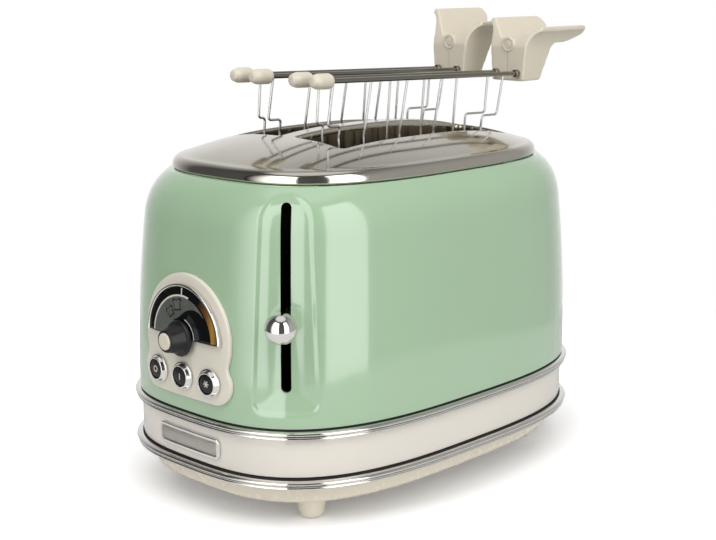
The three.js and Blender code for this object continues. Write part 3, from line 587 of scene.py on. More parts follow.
def make_shell():
    profile = [(wall_draft(height), height) for height in shell_heights()]
    steps = 18
    profile += [tuple(shoulder(step / steps)) for step in range(steps + 1)]
    profile.append((SHELL_TOP_DRAFT + SHELL_FLANGE, SHELL_TOP))
    sections = [(*half_sizes(draft), height) for draft, height in profile]
    shell = drawn("shell", sections, shell_angles(), oval_point)
    place(shell, (HOUSING_CENTRE, 0, 0), UP)
    point, out, across = corner_frame()
    for vertex in shell.data.vertices:
        offset = vertex.co - point
        if offset.dot(out) > -0.02 and vertex.co.z < SHELL_TOP - 0.0005:
            vertex.co -= out * recess_depth(offset.dot(across), vertex.co.z)
    thickened(shell, SHELL_THICKNESS)
    half = LEVER_SLOT_WIDTH / 2
    reach = 0.03
    low, high = (-half, -reach, LEVER_SLOT_BOTTOM), (half, reach, LEVER_SLOT_TOP)
    cutter = rounded_block("slot", low, high, ACROSS, half * 0.999)
    turn = Matrix((across, out, UP)).transposed().to_4x4()
    cutter.data.transform(Matrix.Translation(point) @ turn)
    reshaped(shell, merged([cutter, *panel_drills()]), "DIFFERENCE")
    return shell


def panel_drills():
    """Rods through the wall where the buttons and the knob's shaft pass."""
    bore = BUTTON_RADIUS + PANEL_GAP
    holes = [(side * BUTTON_PITCH, BUTTON_HEIGHT, bore) for side in (-1, 0, 1)]
    drills = []
    for across, height, radius in [*holes, (0, DIAL_HEIGHT, SHAFT_HOLE)]:
        point, out = wall_spot(across, height)
        reach = out * 0.012
        drills.append(rod("drill", radius, point - reach, point + reach, sides=48))
    return drills


def plate_dome(share):
    rise = PLATE_DOME_RISE * (1 - share**PLATE_DOME_POWER)
    return PLATE_BOTTOM + PLATE_RIM_HEIGHT + rise


def slot_cutter(side):
    """A block that cuts a bread slot where the roll of its edge begins."""
    half = SLOT_WIDTH / 2 + SLOT_ROLL
    start = SLOT_START - SLOT_ROLL
    end = SLOT_START + SLOT_LENGTH + SLOT_ROLL
    low = (start, side * SLOT_ACROSS - half, PLATE_BOTTOM - 0.02)
    high = (end, side * SLOT_ACROSS + half, PLATE_BOTTOM + 0.04)
    return rounded_block("slot", low, high, UP, SLOT_CORNER + SLOT_ROLL)


def make_top_plate():
    """The plate, domed inside its rolled rim, and the dark walls that hang from its two slots."""
    rim_top = PLATE_BOTTOM + PLATE_RIM_HEIGHT
    rim = eased(
        [
            (PLATE_DRAFT + PLATE_FLANGE, PLATE_BOTTOM, 0),
            (PLATE_DRAFT, PLATE_BOTTOM, PLATE_EDGE_RADIUS),
            (PLATE_DRAFT, rim_top, PLATE_RIM_RADIUS),
            (PLATE_DRAFT + 2 * PLATE_RIM_RADIUS, rim_top, 0),
        ],
        steps=7,
    )[:-1]
    sections = [(*half_sizes(draft), height) for draft, height in rim]
    half_x, half_y = sections[-1][:2]
    rings = 34
    for ring in range(1, rings):
        share = 1 - ring / rings
        sections.append((half_x * share, half_y * share, plate_dome(share)))
    sections.append((0, 0, plate_dome(0)))
    plate = drawn("top_skin", sections, even_angles(240), oval_point)
    close_ends(plate)
    place(plate, (HOUSING_CENTRE, 0, 0), UP)
    for side in (-1, 1):
        reshaped(plate, slot_cutter(side), "DIFFERENCE")

    def is_slot_wall(face):
        spot = face.calc_center_median()
        is_near = abs(spot.y) < SLOTS_REACH_ACROSS
        is_near = is_near and abs(spot.x - HOUSING_CENTRE) < SLOTS_REACH_ALONG
        return is_near and abs(face.normal.z) < 0.05

    open_mesh(plate)
    pick("FACE", is_slot_wall)
    bpy.ops.mesh.delete(type="FACE")
    pick("FACE", lambda face: face.normal.z < -0.9)
    bpy.ops.mesh.delete(type="FACE")
    close_mesh()
    walls = [roll_slot_lip(plate, side) for side in (-1, 1)]
    for piece in (plate, *walls):
        thickened(piece, PLATE_THICKNESS)
    return plate, walls


def roll_slot_lip(plate, side):
    """Rolls the plate's edge down into a bread slot and parts the wall that hangs under it."""
    centre = Vector((SLOT_START + SLOT_LENGTH / 2, side * SLOT_ACROSS, PLATE_BOTTOM))
    half_x = SLOT_LENGTH / 2 + SLOT_ROLL
    half_y = SLOT_WIDTH / 2 + SLOT_ROLL
    margin = 0.001

    def is_rim(edge):
        offset = middle(edge) - centre
        is_near = abs(offset.y) < half_y + margin and abs(offset.x) < half_x + margin
        return edge.is_boundary and is_near

    open_mesh(plate)
    pick("EDGE", is_rim)
    steps = 5
    inset = 0.0
    for step in range(1, steps + 1):
        turn = QUARTER * step / steps
        next_inset = SLOT_ROLL * math.sin(turn)
        drop = SLOT_ROLL * (math.cos(turn) - math.cos(QUARTER * (step - 1) / steps))
        bpy.ops.mesh.extrude_edges_move()
        narrowing_x = (half_x - next_inset) / (half_x - inset)
        narrowing_y = (half_y - next_inset) / (half_y - inset)
        bpy.ops.transform.resize(value=(narrowing_x, narrowing_y, 1), center_override=centre)
        bpy.ops.transform.translate(value=(0, 0, drop))
        inset = next_inset
    for drop in (SLOT_LIP, SLOT_WALL_DEPTH):
        bpy.ops.mesh.extrude_edges_move()
        bpy.ops.transform.translate(value=(0, 0, -drop))
    bpy.ops.mesh.select_more(use_face_step=True)
    bpy.ops.mesh.separate(type="SELECTED")
    wall = next(piece for piece in bpy.context.selected_objects if piece is not plate)
    close_mesh()
    wall.name = f"slot_wall_{'near' if side < 0 else 'far'}"
    return wall


def hoop(name, profile, count=240):
    """A closed hoop round the housing from a profile of (inset from its outline, height)."""
    sections = [(*half_sizes(0, inset), height) for inset, height in profile]
    piece = drawn(name, sections, even_angles(count), oval_point, joined=True)
    place(piece, (HOUSING_CENTRE, 0, 0), UP)
    return piece


def make_bead(name, bottom, top):
    """A chrome bead with two ridges, the upper one the larger, under the black strip of painted
    shade.
    """
    top -= SHADOW_STRIP_HEIGHT
    split = (top - bottom) * (1 - BEAD_SPLIT)
    steps = 8
    profile = [(0, bottom)]
    for foot, rise, proud in (
        (bottom, split, BEAD_LOWER_PROUD), (bottom + split, top - bottom - split, BEAD_UPPER_PROUD)
    ):
        for step in range(1, steps + 1):
            turn = math.pi * step / steps
            profile.append((-proud * math.sin(turn), foot + rise * (1 - math.cos(turn)) / 2))
    return hoop(name, profile + [(BEAD_INSET, top), (BEAD_INSET, bottom)])


def make_shadow_strip(name, top):
    """A black strip over a bead: painted shade standing in for the shadow in the gap between wall
    and bead.
    """
    bottom = top - SHADOW_STRIP_HEIGHT
    outer = [(SHADOW_STRIP_INSET, bottom), (SHADOW_STRIP_INSET, top)]
    return hoop(name, outer + [(BEAD_INSET, top), (BEAD_INSET, bottom)])


def make_base_band():
    """The cream band, open at the rear end for the crumb tray and the gland."""
    low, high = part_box("base_band")
    bottom, top = low[2], high[2]
    inner = BAND_INSET + BAND_WALL
    profile = eased(
        [
            (inner, bottom, 0),
            (BAND_INSET, bottom, BAND_EDGE),
            (BAND_INSET, top, BAND_EDGE),
            (inner, top, 0),
        ]
    )
    band = hoop("band", profile)
    low, high = (Vector(corner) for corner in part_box("crumb_tray_front"))
    opening = block(
        "opening",
        (HOUSING_CENTRE, low.y - BAND_GAP, low.z - BAND_GAP),
        (HOUSING_CENTRE + HALF_LENGTH * 1.2, high.y + BAND_GAP, high.z + BAND_GAP),
    )
    low, high = (Vector(corner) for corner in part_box("cord_gland"))
    sizes = half_sizes(0, BAND_INSET)
    point, out = wall_spot((low.y + high.y) / 2, (low.z + high.z) / 2, sizes)
    point.x, out.x = 2 * HOUSING_CENTRE - point.x, -out.x
    reach = out * 0.008
    bore = rod("bore", GLAND_BORE, point - reach, point + reach, sides=48)
    return reshaped(band, merged([opening, bore]), "DIFFERENCE")


def make_base_pan():
    """A shallow pan whose flange reaches out under the lower bead."""
    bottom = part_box("base_pan")[0][2]
    top = bottom + PAN_HEIGHT
    flange_bottom = top - PAN_FLANGE_THICKNESS
    floor_top = bottom + PAN_WALL
    inner = PAN_INSET + PAN_WALL
    profile = eased(
        [
            (PAN_FLOOR_INSET, bottom, 0),
            (PAN_INSET, bottom, 0.004),
            (PAN_INSET, flange_bottom, 0.0006),
            (PAN_FLANGE_INSET, flange_bottom, 0.0004),
            (PAN_FLANGE_INSET, top, 0.0003),
            (inner, top, 0),
            (inner, floor_top, 0.003),
            (PAN_FLOOR_INSET, floor_top, 0),
        ],
        steps=6,
    )
    pan = hoop("pan", profile, 200)
    sizes = half_sizes(0, PAN_FLOOR_INSET - 0.0001)
    sections = [(*sizes, bottom), (*sizes, floor_top)]
    floor = drawn("pan_floor", sections, even_angles(200), oval_point)
    close_ends(floor)
    place(floor, (HOUSING_CENTRE, 0, 0), UP)
    return merged([pan, floor])


def make_feet():
    low, high = (Vector(corner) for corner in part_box("foot_1"))
    radius = (high.x - low.x) / 2
    height = high.z
    origin = Vector(((low.x + high.x) / 2, (low.y + high.y) / 2, 0))
    middle_hole = 0.0015
    profile = [
        (middle_hole, 0, 0),
        (radius * 0.58, 0, 0.0028),
        (radius * 0.74, height * 0.6, 0.02),
        (radius * 0.84, height, 0),
        (middle_hole, height, 0),
    ]
    feet = [turned("foot_near_control", profile, origin, UP, steps=6)]
    names = ["foot_near_rear", "foot_far_rear", "foot_far_control"]
    for index, name in enumerate(names, start=2):
        other = Vector(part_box(f"foot_{index}")[0])
        feet.append(copied(feet[0], name, other - low))
    return feet


# Control panel


def arc(centre, radius, start, end, count):
    """Points of an arc from one angle to another."""
    angles = [start + (end - start) * step / count for step in range(count + 1)]
    return [
        (centre[0] + radius * math.cos(angle), centre[1] + radius * math.sin(angle))
        for angle in angles
    ]


def rounded_rectangle(width, height, radius, centre=(0, 0), count=6):
    """A closed outline of a rectangle with round corners."""
    points = []
    for corner in range(4):
        turn = corner * QUARTER
        side_x = 1 if corner in (0, 3) else -1
        side_y = 1 if corner in (0, 1) else -1
        middle_x = centre[0] + side_x * (width / 2 - radius)
        middle_y = centre[1] + side_y * (height / 2 - radius)
        points += arc((middle_x, middle_y), radius, turn, turn + QUARTER, count)
    return points


def slab(name, outline, thickness, edge=0.0, segments=4, foot=0.0):
    """A flat piece drawn as an outline and raised from a foot height, its upper edge rounded."""
    leave_all()
    bpy.ops.mesh.primitive_circle_add(vertices=len(outline), radius=1, fill_type="NGON")
    piece = named(name)
    for vertex, point in zip(piece.data.vertices, outline):
        vertex.co = (*point, foot)
    bpy.ops.object.mode_set(mode="EDIT")
    bpy.ops.mesh.select_all(action="SELECT")
    bpy.ops.mesh.extrude_region_move()
    bpy.ops.transform.translate(value=(0, 0, thickness))
    if edge:
        bpy.ops.mesh.bevel(offset=edge, segments=segments, affect="EDGES")
    outward()
    close_mesh()
    return piece


def wrapped(piece, sizes=None):
    """Bends a flat piece (across, up, outward) onto the wall at the control end."""
    for vertex in piece.data.vertices:
        across, height, distance = vertex.co
        point, out = wall_spot(across, height, sizes)
        vertex.co = point + out * distance
    return faced_out(piece)


def panel_outline():
    """A disc over a round-ended bar, with a round waist between them."""
    disc = Vector((0, DIAL_HEIGHT))
    end_radius = PANEL_BAR_HEIGHT / 2
    end = Vector((PANEL_BAR_WIDTH / 2 - end_radius, PANEL_BAR_CENTRE))
    line = end - disc
    far = PANEL_RADIUS + PANEL_WAIST
    near = end_radius + PANEL_WAIST
    along = (far**2 - near**2 + line.length_squared) / (2 * line.length)
    aside = math.sqrt(far**2 - along**2)
    direction = line.normalized()
    waist = disc + direction * along + Vector((-direction.y, direction.x)) * aside
    disc_turn = math.atan2(*reversed(waist - disc))
    end_turn = math.atan2(*reversed(waist - end))
    right = arc(disc, PANEL_RADIUS, QUARTER, disc_turn, 60)
    right += arc(waist, PANEL_WAIST, disc_turn + math.pi, end_turn + math.pi, 10)[1:]
    right += arc(end, end_radius, end_turn, -QUARTER, 24)[1:]
    left = [(-across, height) for across, height in reversed(right)]
    return right + left[:-1]


def make_panel():
    panel = slab("panel", panel_outline(), PANEL_THICKNESS, edge=0.0011, foot=PANEL_GAP)
    height = PANEL_BAR_CENTRE - PANEL_BAR_HEIGHT / 2
    sliced(panel, ALONG, -PANEL_BAR_WIDTH / 2, PANEL_BAR_WIDTH / 2, 0.002)
    sliced(panel, ACROSS, height, DIAL_HEIGHT + PANEL_RADIUS, 0.002)
    wrapped(panel)
    return reshaped(panel, merged(panel_drills()), "DIFFERENCE")


def dial_turn(degrees):
    """The angle on the wall of a direction on the dial as seen from outside, right being zero."""
    return math.pi - math.radians(degrees)


def dial_band(name, inner, outer, start, end):
    """A print on the dial between two radii and two directions, wrapped on the wall."""
    centre = (0, DIAL_HEIGHT)
    turns = dial_turn(start), dial_turn(end)
    outline = arc(centre, outer, *turns, 48) + arc(centre, inner, *reversed(turns), 48)
    band = slab(name, outline, PRINT_THICKNESS, foot=DIAL_TOP)
    sliced(band, ALONG, -outer, outer, 0.004)
    return wrapped(band)


def make_dial():
    """The glossy half disc that the marks lie on."""
    centre = (0, DIAL_HEIGHT)
    outline = arc(centre, DIAL_RADIUS, 0, math.pi, 90)
    face = slab("dial", outline, DIAL_THICKNESS, edge=0.0004, foot=DIAL_FOOT)
    sliced(face, ALONG, -DIAL_RADIUS, DIAL_RADIUS, 0.003)
    sliced(face, ACROSS, DIAL_HEIGHT, DIAL_HEIGHT + DIAL_RADIUS, 0.004)
    return wrapped(face)


def make_dial_scale():
    """The dial's grey field, which narrows towards the right."""
    steps = 60
    outer = []
    inner = []
    for step in range(steps + 1):
        degrees = SCALE_START - SCALE_SWEEP * step / steps
        turn = dial_turn(degrees)
        narrowing = smooth_step((SCALE_NARROW_START - degrees) / SCALE_NARROW_SWEEP)
        radius = SCALE_INNER + (SCALE_OUTER - SCALE_INNER) * narrowing * 0.98
        outer.append((SCALE_OUTER * math.cos(turn), DIAL_HEIGHT + SCALE_OUTER * math.sin(turn)))
        inner.append((radius * math.cos(turn), DIAL_HEIGHT + radius * math.sin(turn)))
    field = slab("dial_scale", outer + inner[::-1], PRINT_THICKNESS, foot=DIAL_TOP)
    sliced(field, ALONG, -SCALE_OUTER, SCALE_OUTER, 0.004)
    return wrapped(field)


def swung(points, turn):
    """The points of an outline, turned about their origin."""
    return [
        (x * math.cos(turn) - y * math.sin(turn), x * math.sin(turn) + y * math.cos(turn))
        for x, y in points
    ]


def toast_outline(radius, turn, size):
    """A slice of bread seen flat: a rounded foot and two round shoulders."""
    half = size * 0.42
    shape = [(-half, -size / 2), (half, -size / 2), (half, size * 0.1)]
    shape += arc((half * 0.78, size * 0.26), half * 0.55, -0.5, math.pi * 0.8, 8)
    shape += arc((-half * 0.78, size * 0.26), half * 0.55, math.pi * 0.2, math.pi + 0.5, 8)
    shape.append((-half, size * 0.1))
    lean = turn - QUARTER
    middle_y = DIAL_HEIGHT + radius * math.sin(turn)
    middle_x = radius * math.cos(turn)
    return [(middle_x + x, middle_y + y) for x, y in swung(shape, lean)]


def make_toast_mark(name, radius, degrees, size, layer):
    outline = toast_outline(radius, dial_turn(degrees), size)
    mark = slab(name, outline, PRINT_THICKNESS, foot=DIAL_TOP + layer * PRINT_THICKNESS)
    return wrapped(mark)


def make_bezel():
    centre = (0, DIAL_HEIGHT)
    inner = DIAL_RADIUS + PANEL_GAP
    outer = inner + BEZEL_WIDTH
    outline = arc(centre, outer, 0, math.pi, 96) + arc(centre, inner, math.pi, 0, 96)
    edge = BEZEL_WIDTH * 0.42
    bezel = slab("bezel", outline, BEZEL_THICKNESS, edge=edge, segments=5, foot=DIAL_FOOT)
    sliced(bezel, ALONG, -outer, outer, 0.003)
    return wrapped(bezel)


def make_knob():
    point, _ = wall_spot(0, DIAL_HEIGHT)
    base = DIAL_TOP + PANEL_GAP
    front = base + KNOB_LENGTH
    profile = [
        (0.0005, base, 0),
        (KNOB_COLLAR_RADIUS - 0.0006, base, 0.0004),
        (KNOB_COLLAR_RADIUS, base + KNOB_COLLAR_HEIGHT * 0.5, 0.0006),
        (KNOB_COLLAR_RADIUS - 0.0012, base + KNOB_COLLAR_HEIGHT, 0.0006),
        (KNOB_BASE_RADIUS + 0.0002, base + KNOB_COLLAR_HEIGHT, 0.0004),
        (KNOB_FRONT_RADIUS, front, 0.0009),
        (KNOB_CAP_RADIUS + 0.0003, front, 0.0003),
        (KNOB_CAP_RADIUS + 0.0003, front - 0.0012, 0),
        (0.0005, front - 0.0012, 0),
    ]
    knob = turned("knob", profile, point, -ALONG, sides=96)
    cap_back = front - 0.001
    cap_front = front + 0.0008
    profile = [
        (0.0003, cap_back, 0),
        (KNOB_CAP_RADIUS, cap_back, 0),
        (KNOB_CAP_RADIUS, cap_front - 0.0001, 0.0006),
        (0.0003, cap_front, 0),
    ]
    return knob, turned("cap", profile, point, -ALONG)


def make_button(side):
    """A push button and its stepped chrome ring."""
    point, out = wall_spot(side * BUTTON_PITCH, BUTTON_HEIGHT)
    bore = BUTTON_RADIUS + PANEL_GAP
    base = PANEL_GAP + PANEL_THICKNESS + PANEL_GAP
    profile = [
        (bore, base, 0),
        (RING_RADIUS, base, 0.0002),
        (RING_RADIUS, base + RING_FLANGE, 0.0006),
        (RING_STEP_RADIUS, base + RING_FLANGE, 0.0004),
        (RING_TOP_RADIUS, base + RING_HEIGHT, 0.0005),
        (bore, base + RING_HEIGHT, 0.0002),
        (bore, base, 0),
    ]
    ring = turned("ring", profile, point, out, sides=72)
    profile = [
        (0.0005, -BUTTON_REACH, 0),
        (BUTTON_RADIUS, -BUTTON_REACH, 0),
        (BUTTON_RADIUS, BUTTON_FACE - 0.0001, 0.0006),
    ]
    for share in (0.85, 0.7, 0.5, 0.3, 0.05):
        profile.append((BUTTON_RADIUS * share, BUTTON_FACE + 0.0004 * (1 - share**2), 0))
    return ring, turned("button", profile, point, out, sides=48)


def bar_outline(length, width, turn):
    return swung(rounded_rectangle(length, width, width * 0.45, count=3), turn)


def make_button_mark(side):
    """A plain mark on each button: a ring, a bar, and three crossed bars."""
    width = 0.0007
    rise = 0.0001
    if side > 0:
        outer = 0.0021
        inner = outer - width
        profile = [(inner, 0, 0), (outer, 0, 0), (outer, rise, 0), (inner, rise, 0)]
        mark = turned("mark", profile, (0, 0, 0), UP, sides=32, joined=True)
    elif side == 0:
        mark = slab("mark", bar_outline(0.0042, width, QUARTER), rise)
    else:
        turns = (0, math.pi / 3, 2 * math.pi / 3)
        mark = merged([slab("mark", bar_outline(0.0044, width, turn), rise) for turn in turns])
    point, out = wall_spot(side * BUTTON_PITCH, BUTTON_HEIGHT)
    upright = Matrix((UP.cross(out), UP, out)).transposed().to_4x4()
    origin = point + out * (BUTTON_FACE + 0.00038)
    mark.data.transform(Matrix.Translation(origin) @ upright)
    return mark


def make_name_plate():
    """A raised frame with round corners on the base band, and the bare field inside it."""
    low, high = (Vector(corner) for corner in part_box("name_plate"))
    centre = (0, (low.z + high.z) / 2)
    width = high.y - low.y
    height = high.z - low.z
    foot = 0.0003
    rise = 0.0017
    ledge = 0.0012
    sink = 0.0011
    edge = 0.0006
    sizes = half_sizes(0, BAND_INSET)
    outline = rounded_rectangle(width, height, 0.0032, centre)
    rim = slab("plate_frame", outline, rise, edge=edge, foot=foot)
    open_mesh(rim)
    pick("FACE", lambda face: face.normal.z > 0.99)
    bpy.ops.mesh.inset(thickness=ledge)
    bpy.ops.mesh.extrude_region_move()
    bpy.ops.transform.translate(value=(0, 0, -sink))
    close_mesh()
    sliced(rim, ALONG, -width / 2, width / 2, 0.003)
    border = 2 * (ledge + edge)
    outline = rounded_rectangle(width - border, height - border, 0.0014, centre)
    field = slab("plate_field", outline, 0.0003, edge=0.0001, segments=2, foot=foot + rise - sink)
    sliced(field, ALONG, -width / 2, width / 2, 0.003)
    return wrapped(rim, sizes), wrapped(field, sizes)


# Lever


def make_lever():
    """The chrome ball on its blade, which comes out of the slot."""
    low, high = (Vector(corner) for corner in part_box("lever_knob"))
    radius = (high.z - low.z) / 2
    centre = (low + high) / 2
    out = corner_frame()[1]
    leave_all()
    bpy.ops.mesh.primitive_uv_sphere_add(segments=64, ring_count=32, radius=radius)
    ball = named("ball")
    open_mesh(ball)
    flat = -radius * 0.9
    pick("VERT", lambda vertex: vertex.co.z < flat)
    bpy.ops.transform.resize(value=(1, 1, 0), center_override=(0, 0, flat))
    close_mesh()
    place(ball, centre, out)
    profile = [
        (0.0005, 0, 0),
        (0.0044, 0, 0.0005),
        (0.0038, 0.0016, 0.0008),
        (0.0044, 0.0042, 0),
        (0.0005, 0.0042, 0),
    ]
    neck = turned("neck", profile, centre - out * (radius + 0.0025), out, sides=40)
    return merged([ball, neck])


# Sandwich tongs


def wire(name, radius, points, bend=0.0, sides=12):
    """A round wire along straight runs, bent at each corner."""
    points = [Vector(point) for point in points]
    entry = (points[1] - points[0]).normalized()
    leave_all()
    bpy.ops.mesh.primitive_circle_add(
        vertices=sides,
        radius=radius,
        location=points[0],
        rotation=UP.rotation_difference(entry).to_euler(),
    )
    piece = named(name)
    settle()
    bpy.ops.object.mode_set(mode="EDIT")
    bpy.ops.mesh.select_mode(type="EDGE")
    bpy.ops.mesh.select_all(action="SELECT")
    here = points[0]
    for index in range(1, len(points)):
        corner = points[index]
        entry = (corner - points[index - 1]).normalized()
        if index == len(points) - 1:
            bpy.ops.mesh.extrude_edges_move()
            bpy.ops.transform.translate(value=corner - here)
            break
        leaving = (points[index + 1] - corner).normalized()
        turn = entry.angle(leaving)
        cut = bend * math.tan(turn / 2)
        stop = corner - entry * cut
        bpy.ops.mesh.extrude_edges_move()
        bpy.ops.transform.translate(value=stop - here)
        side = (leaving - entry * entry.dot(leaving)).normalized()
        bpy.ops.mesh.spin(
            steps=6, angle=-turn, center=stop + side * bend, axis=entry.cross(leaving).normalized()
        )
        here = corner + leaving * cut
    bpy.ops.mesh.select_all(action="SELECT")
    bpy.ops.mesh.fill_holes(sides=0)
    outward()
    close_mesh()
    return piece


def make_cage(name, middle, is_rear):
    """Half a tong's wire cage, and the rod with its collar that carries it.

    The wires lean over, down to a knee, and come back at the bottom, so that the cage can open
    between the bread guards. The rear cage counts its uprights from the other end.
    """
    lean = REAR_CAGE_LEAN if is_rear else FRONT_CAGE_LEAN
    shift = CAGE_REAR_SHIFT if is_rear else 0
    upper_start = CAGE_UPPER_START + shift
    upper_end = CAGE_UPPER_END + shift
    shoulder = CAGE_SHOULDER_DROP
    knee = CAGE_KNEE_DROP
    bottom = ROD_HEIGHT - CAGE_BOTTOM - WIRE_RADIUS

    def spot(x, drop):
        leaning = drop if drop <= knee else knee * (bottom - drop) / (bottom - knee)
        return Vector((x, middle + lean * leaning, ROD_HEIGHT - drop))

    collar = [
        (ROD_RADIUS, 0, 0),
        (0.0026, 0, 0.0004),
        (0.0028, 0.0032, 0.0004),
        (ROD_RADIUS, 0.0032, 0),
    ]
    collar_spot = spot(HANDLE_START - 0.0036, 0)
    carrier = [
        wire("rod", ROD_RADIUS, [spot(ROD_START, 0), spot(HANDLE_START + ROD_GRIP, 0)], sides=20),
        turned("collar", collar, collar_spot, ALONG, sides=24, joined=True),
    ]
    bends = [
        spot(upper_start, 0),
        spot(upper_start, shoulder),
        spot(CAGE_LOWER_START, shoulder),
        spot(CAGE_LOWER_START, knee),
        spot(CAGE_LOWER_START, bottom),
        spot(CAGE_LOWER_END, bottom),
        spot(CAGE_LOWER_END, knee),
        spot(CAGE_LOWER_END, shoulder),
        spot(upper_end, shoulder),
        spot(upper_end, 0),
    ]
    pieces = [wire("frame_wire", WIRE_RADIUS, bends, bend=0.0024)]
    for index in range(1, CAGE_UPRIGHTS + 1):
        step = index * CAGE_PITCH
        x = upper_end - step if is_rear else upper_start + step
        bends = [spot(x, drop) for drop in (0, knee, bottom)]
        pieces.append(wire("upright", WIRE_RADIUS, bends, bend=0.006))
    cage = merged(pieces)
    cage.name = name
    rail = merged(carrier)
    rail.name = f"{name}_rail"
    return cage, rail


def make_tip(name, middle):
    """A cream bulb on the rod's free end."""
    profile = [
        (0.0006, 0, 0),
        (0.0034, 0.0002, 0.0022),
        (BULB_RADIUS, BULB_LENGTH * 0.3, 0.006),
        (BULB_RADIUS, BULB_LENGTH * 0.86, 0.0016),
        (BULB_RADIUS * 0.82, BULB_LENGTH, 0.0008),
        (ROD_RADIUS, BULB_LENGTH, 0),
    ]
    return turned(name, profile, (BULB_START, middle, ROD_HEIGHT), ALONG, sides=40, steps=6)


def tilted(piece, middle):
    """Raises the free end of a tong's piece about the place where its rod leaves the handle."""
    hinge = Vector((HANDLE_START, middle, ROD_HEIGHT))
    turn = Matrix.Rotation(TONG_TILT, 4, ACROSS)
    piece.data.transform(Matrix.Translation(hinge) @ turn @ Matrix.Translation(-hinge))
    return piece


def curve(start, control, end, count=10):
    """Points of a curve drawn towards a control point, without its start."""
    return [
        tuple(
            Vector(start) * (1 - share) ** 2
            + Vector(control) * 2 * share * (1 - share)
            + Vector(end) * share**2
        )
        for share in (step / count for step in range(1, count + 1))
    ]


def handle_side(wing_top):
    """The handle from the side: a narrow foot that sweeps up and away to a lip."""
    foot_end = HANDLE_START + HANDLE_FOOT
    under = HANDLE_TOP - HANDLE_LIP_RISE
    neck = (foot_end + 0.0085, under - 0.006)
    shelf = (HANDLE_END - 0.021, under)
    tip = (HANDLE_END, wing_top - 0.0065)
    points = [(HANDLE_START, HANDLE_BOTTOM), (foot_end, HANDLE_BOTTOM), neck]
    points += curve(neck, (foot_end + 0.0105, under), (foot_end + 0.017, under))
    points += curve(shelf, (HANDLE_END - 0.013, under), tip)
    points += curve(tip, (HANDLE_END, wing_top), (HANDLE_END - 0.005, wing_top))
    top = (HANDLE_START + HANDLE_SWEEP, wing_top)
    points.append(top)
    sweep_foot = (HANDLE_START, HANDLE_TOP - HANDLE_SWEEP_DROP)
    points += curve(top, (HANDLE_START + 0.002, HANDLE_TOP - 0.009), sweep_foot)
    return points


def handle_end(side, top):
    """Half of the handle from its end: a waist under a flared wing that slopes to a saddle."""
    overlap = -0.004
    ledge = (HANDLE_WING_WIDTH, top - HANDLE_LEDGE)
    half = [
        (overlap, HANDLE_BOTTOM),
        (HANDLE_FOOT_WIDTH, HANDLE_BOTTOM),
        (HANDLE_WAIST_WIDTH, HANDLE_PIVOT - 0.003),
    ]
    half += curve(half[-1], (HANDLE_WAIST_WIDTH + 0.001, ledge[1] - 0.0015), ledge)
    half.append((HANDLE_WING_WIDTH, top))
    half.append((HANDLE_WING_WIDTH - HANDLE_WING_WALL, top))
    half.append((HANDLE_SADDLE_WIDTH, HANDLE_SADDLE))
    half.append((overlap, HANDLE_SADDLE))
    return [(side * across, height) for across, height in half]


def handle_plan():
    """The handle from above: straight sides and a round end."""
    radius = HANDLE_END_ROUND
    half = HANDLE_WING_WIDTH
    start = HANDLE_START - 0.01
    inner = HANDLE_END - radius
    points = [(start, -half), (inner, -half)]
    points += arc((inner, radius - half), radius, -QUARTER, 0, 10)
    points += arc((inner, half - radius), radius, 0, QUARTER, 10)
    points.append((start, half))
    return points


def make_handle(name, middle, side, rise):
    """One cream handle half: its side, end and top views crossed, then rounded and parted.

    Over the pin it is cut back by the angle that the tong opens.
    """
    reach = 0.06
    wing_top = HANDLE_TOP + rise
    body = slab("side_view", handle_side(wing_top), 2 * reach)
    body.data.transform(
        Matrix.Translation((0, middle + reach, 0)) @ Matrix.Rotation(QUARTER, 4, "X")
    )
    end = slab("end_view", handle_end(side, wing_top), 2 * reach)
    turn = Matrix((ACROSS, UP, ALONG)).transposed().to_4x4()
    end.data.transform(Matrix.Translation((HANDLE_START - reach / 2, middle, 0)) @ turn)
    plan = slab("top_view", handle_plan(), 2 * reach, foot=HANDLE_BOTTOM - reach / 2)
    plan.data.transform(Matrix.Translation((0, middle, 0)))
    for piece in (body, end, plan):
        faced_out(piece)
    for view in (end, plan):
        reshaped(body, view, "INTERSECT")
    body.name = name
    changed(body, "REMESH", mode="VOXEL", voxel_size=0.0007)
    changed(body, "SMOOTH", factor=0.5, iterations=8)
    open_mesh(body)
    for opening in (0, HANDLE_OPENING):
        bpy.ops.mesh.select_all(action="SELECT")
        bpy.ops.mesh.bisect(
            plane_co=(0, middle + side * HANDLE_GAP, HANDLE_PIN),
            plane_no=(0, side, -math.tan(opening)),
            clear_inner=True,
            use_fill=True,
        )
    outward()
    close_mesh()
    return body


def make_boss(name, middle):
    """The round relief over the handle's pivot, with a ring sunk in it."""
    radius = 0.0052
    sunk = -0.003
    proud = 0.0006
    groove = 0.0001
    profile = [
        (0.0005, sunk, 0),
        (radius, sunk, 0),
        (radius, proud, 0.0004),
        (radius * 0.68, proud, 0.0003),
        (radius * 0.62, groove, 0.0002),
        (radius * 0.56, groove, 0.0002),
        (radius * 0.5, proud, 0.0003),
        (0.0005, 0.0007, 0),
    ]
    return turned(name, profile, (HANDLE_START, middle, HANDLE_PIVOT), -ALONG, sides=48)


# Materials


def fed(tree, node, inputs):
    """Gives each input of a node its value, or the output of another node."""
    for name, value in inputs.items():
        if isinstance(value, bpy.types.NodeSocket):
            tree.links.new(value, node.inputs[name])
        else:
            node.inputs[name].default_value = value
    return node


def added(tree, kind, inputs, **settings):
    """A new shader node with its settings and inputs."""
    node = tree.nodes.new(f"ShaderNode{kind}")
    for name, value in settings.items():
        setattr(node, name, value)
    return fed(tree, node, inputs)


def spread(tree, value, start, end, low, high):
    """Maps a value from one range to another."""
    inputs = {"Value": value, "From Min": start, "From Max": end, "To Min": low, "To Max": high}
    return added(tree, "MapRange", inputs).outputs["Result"]


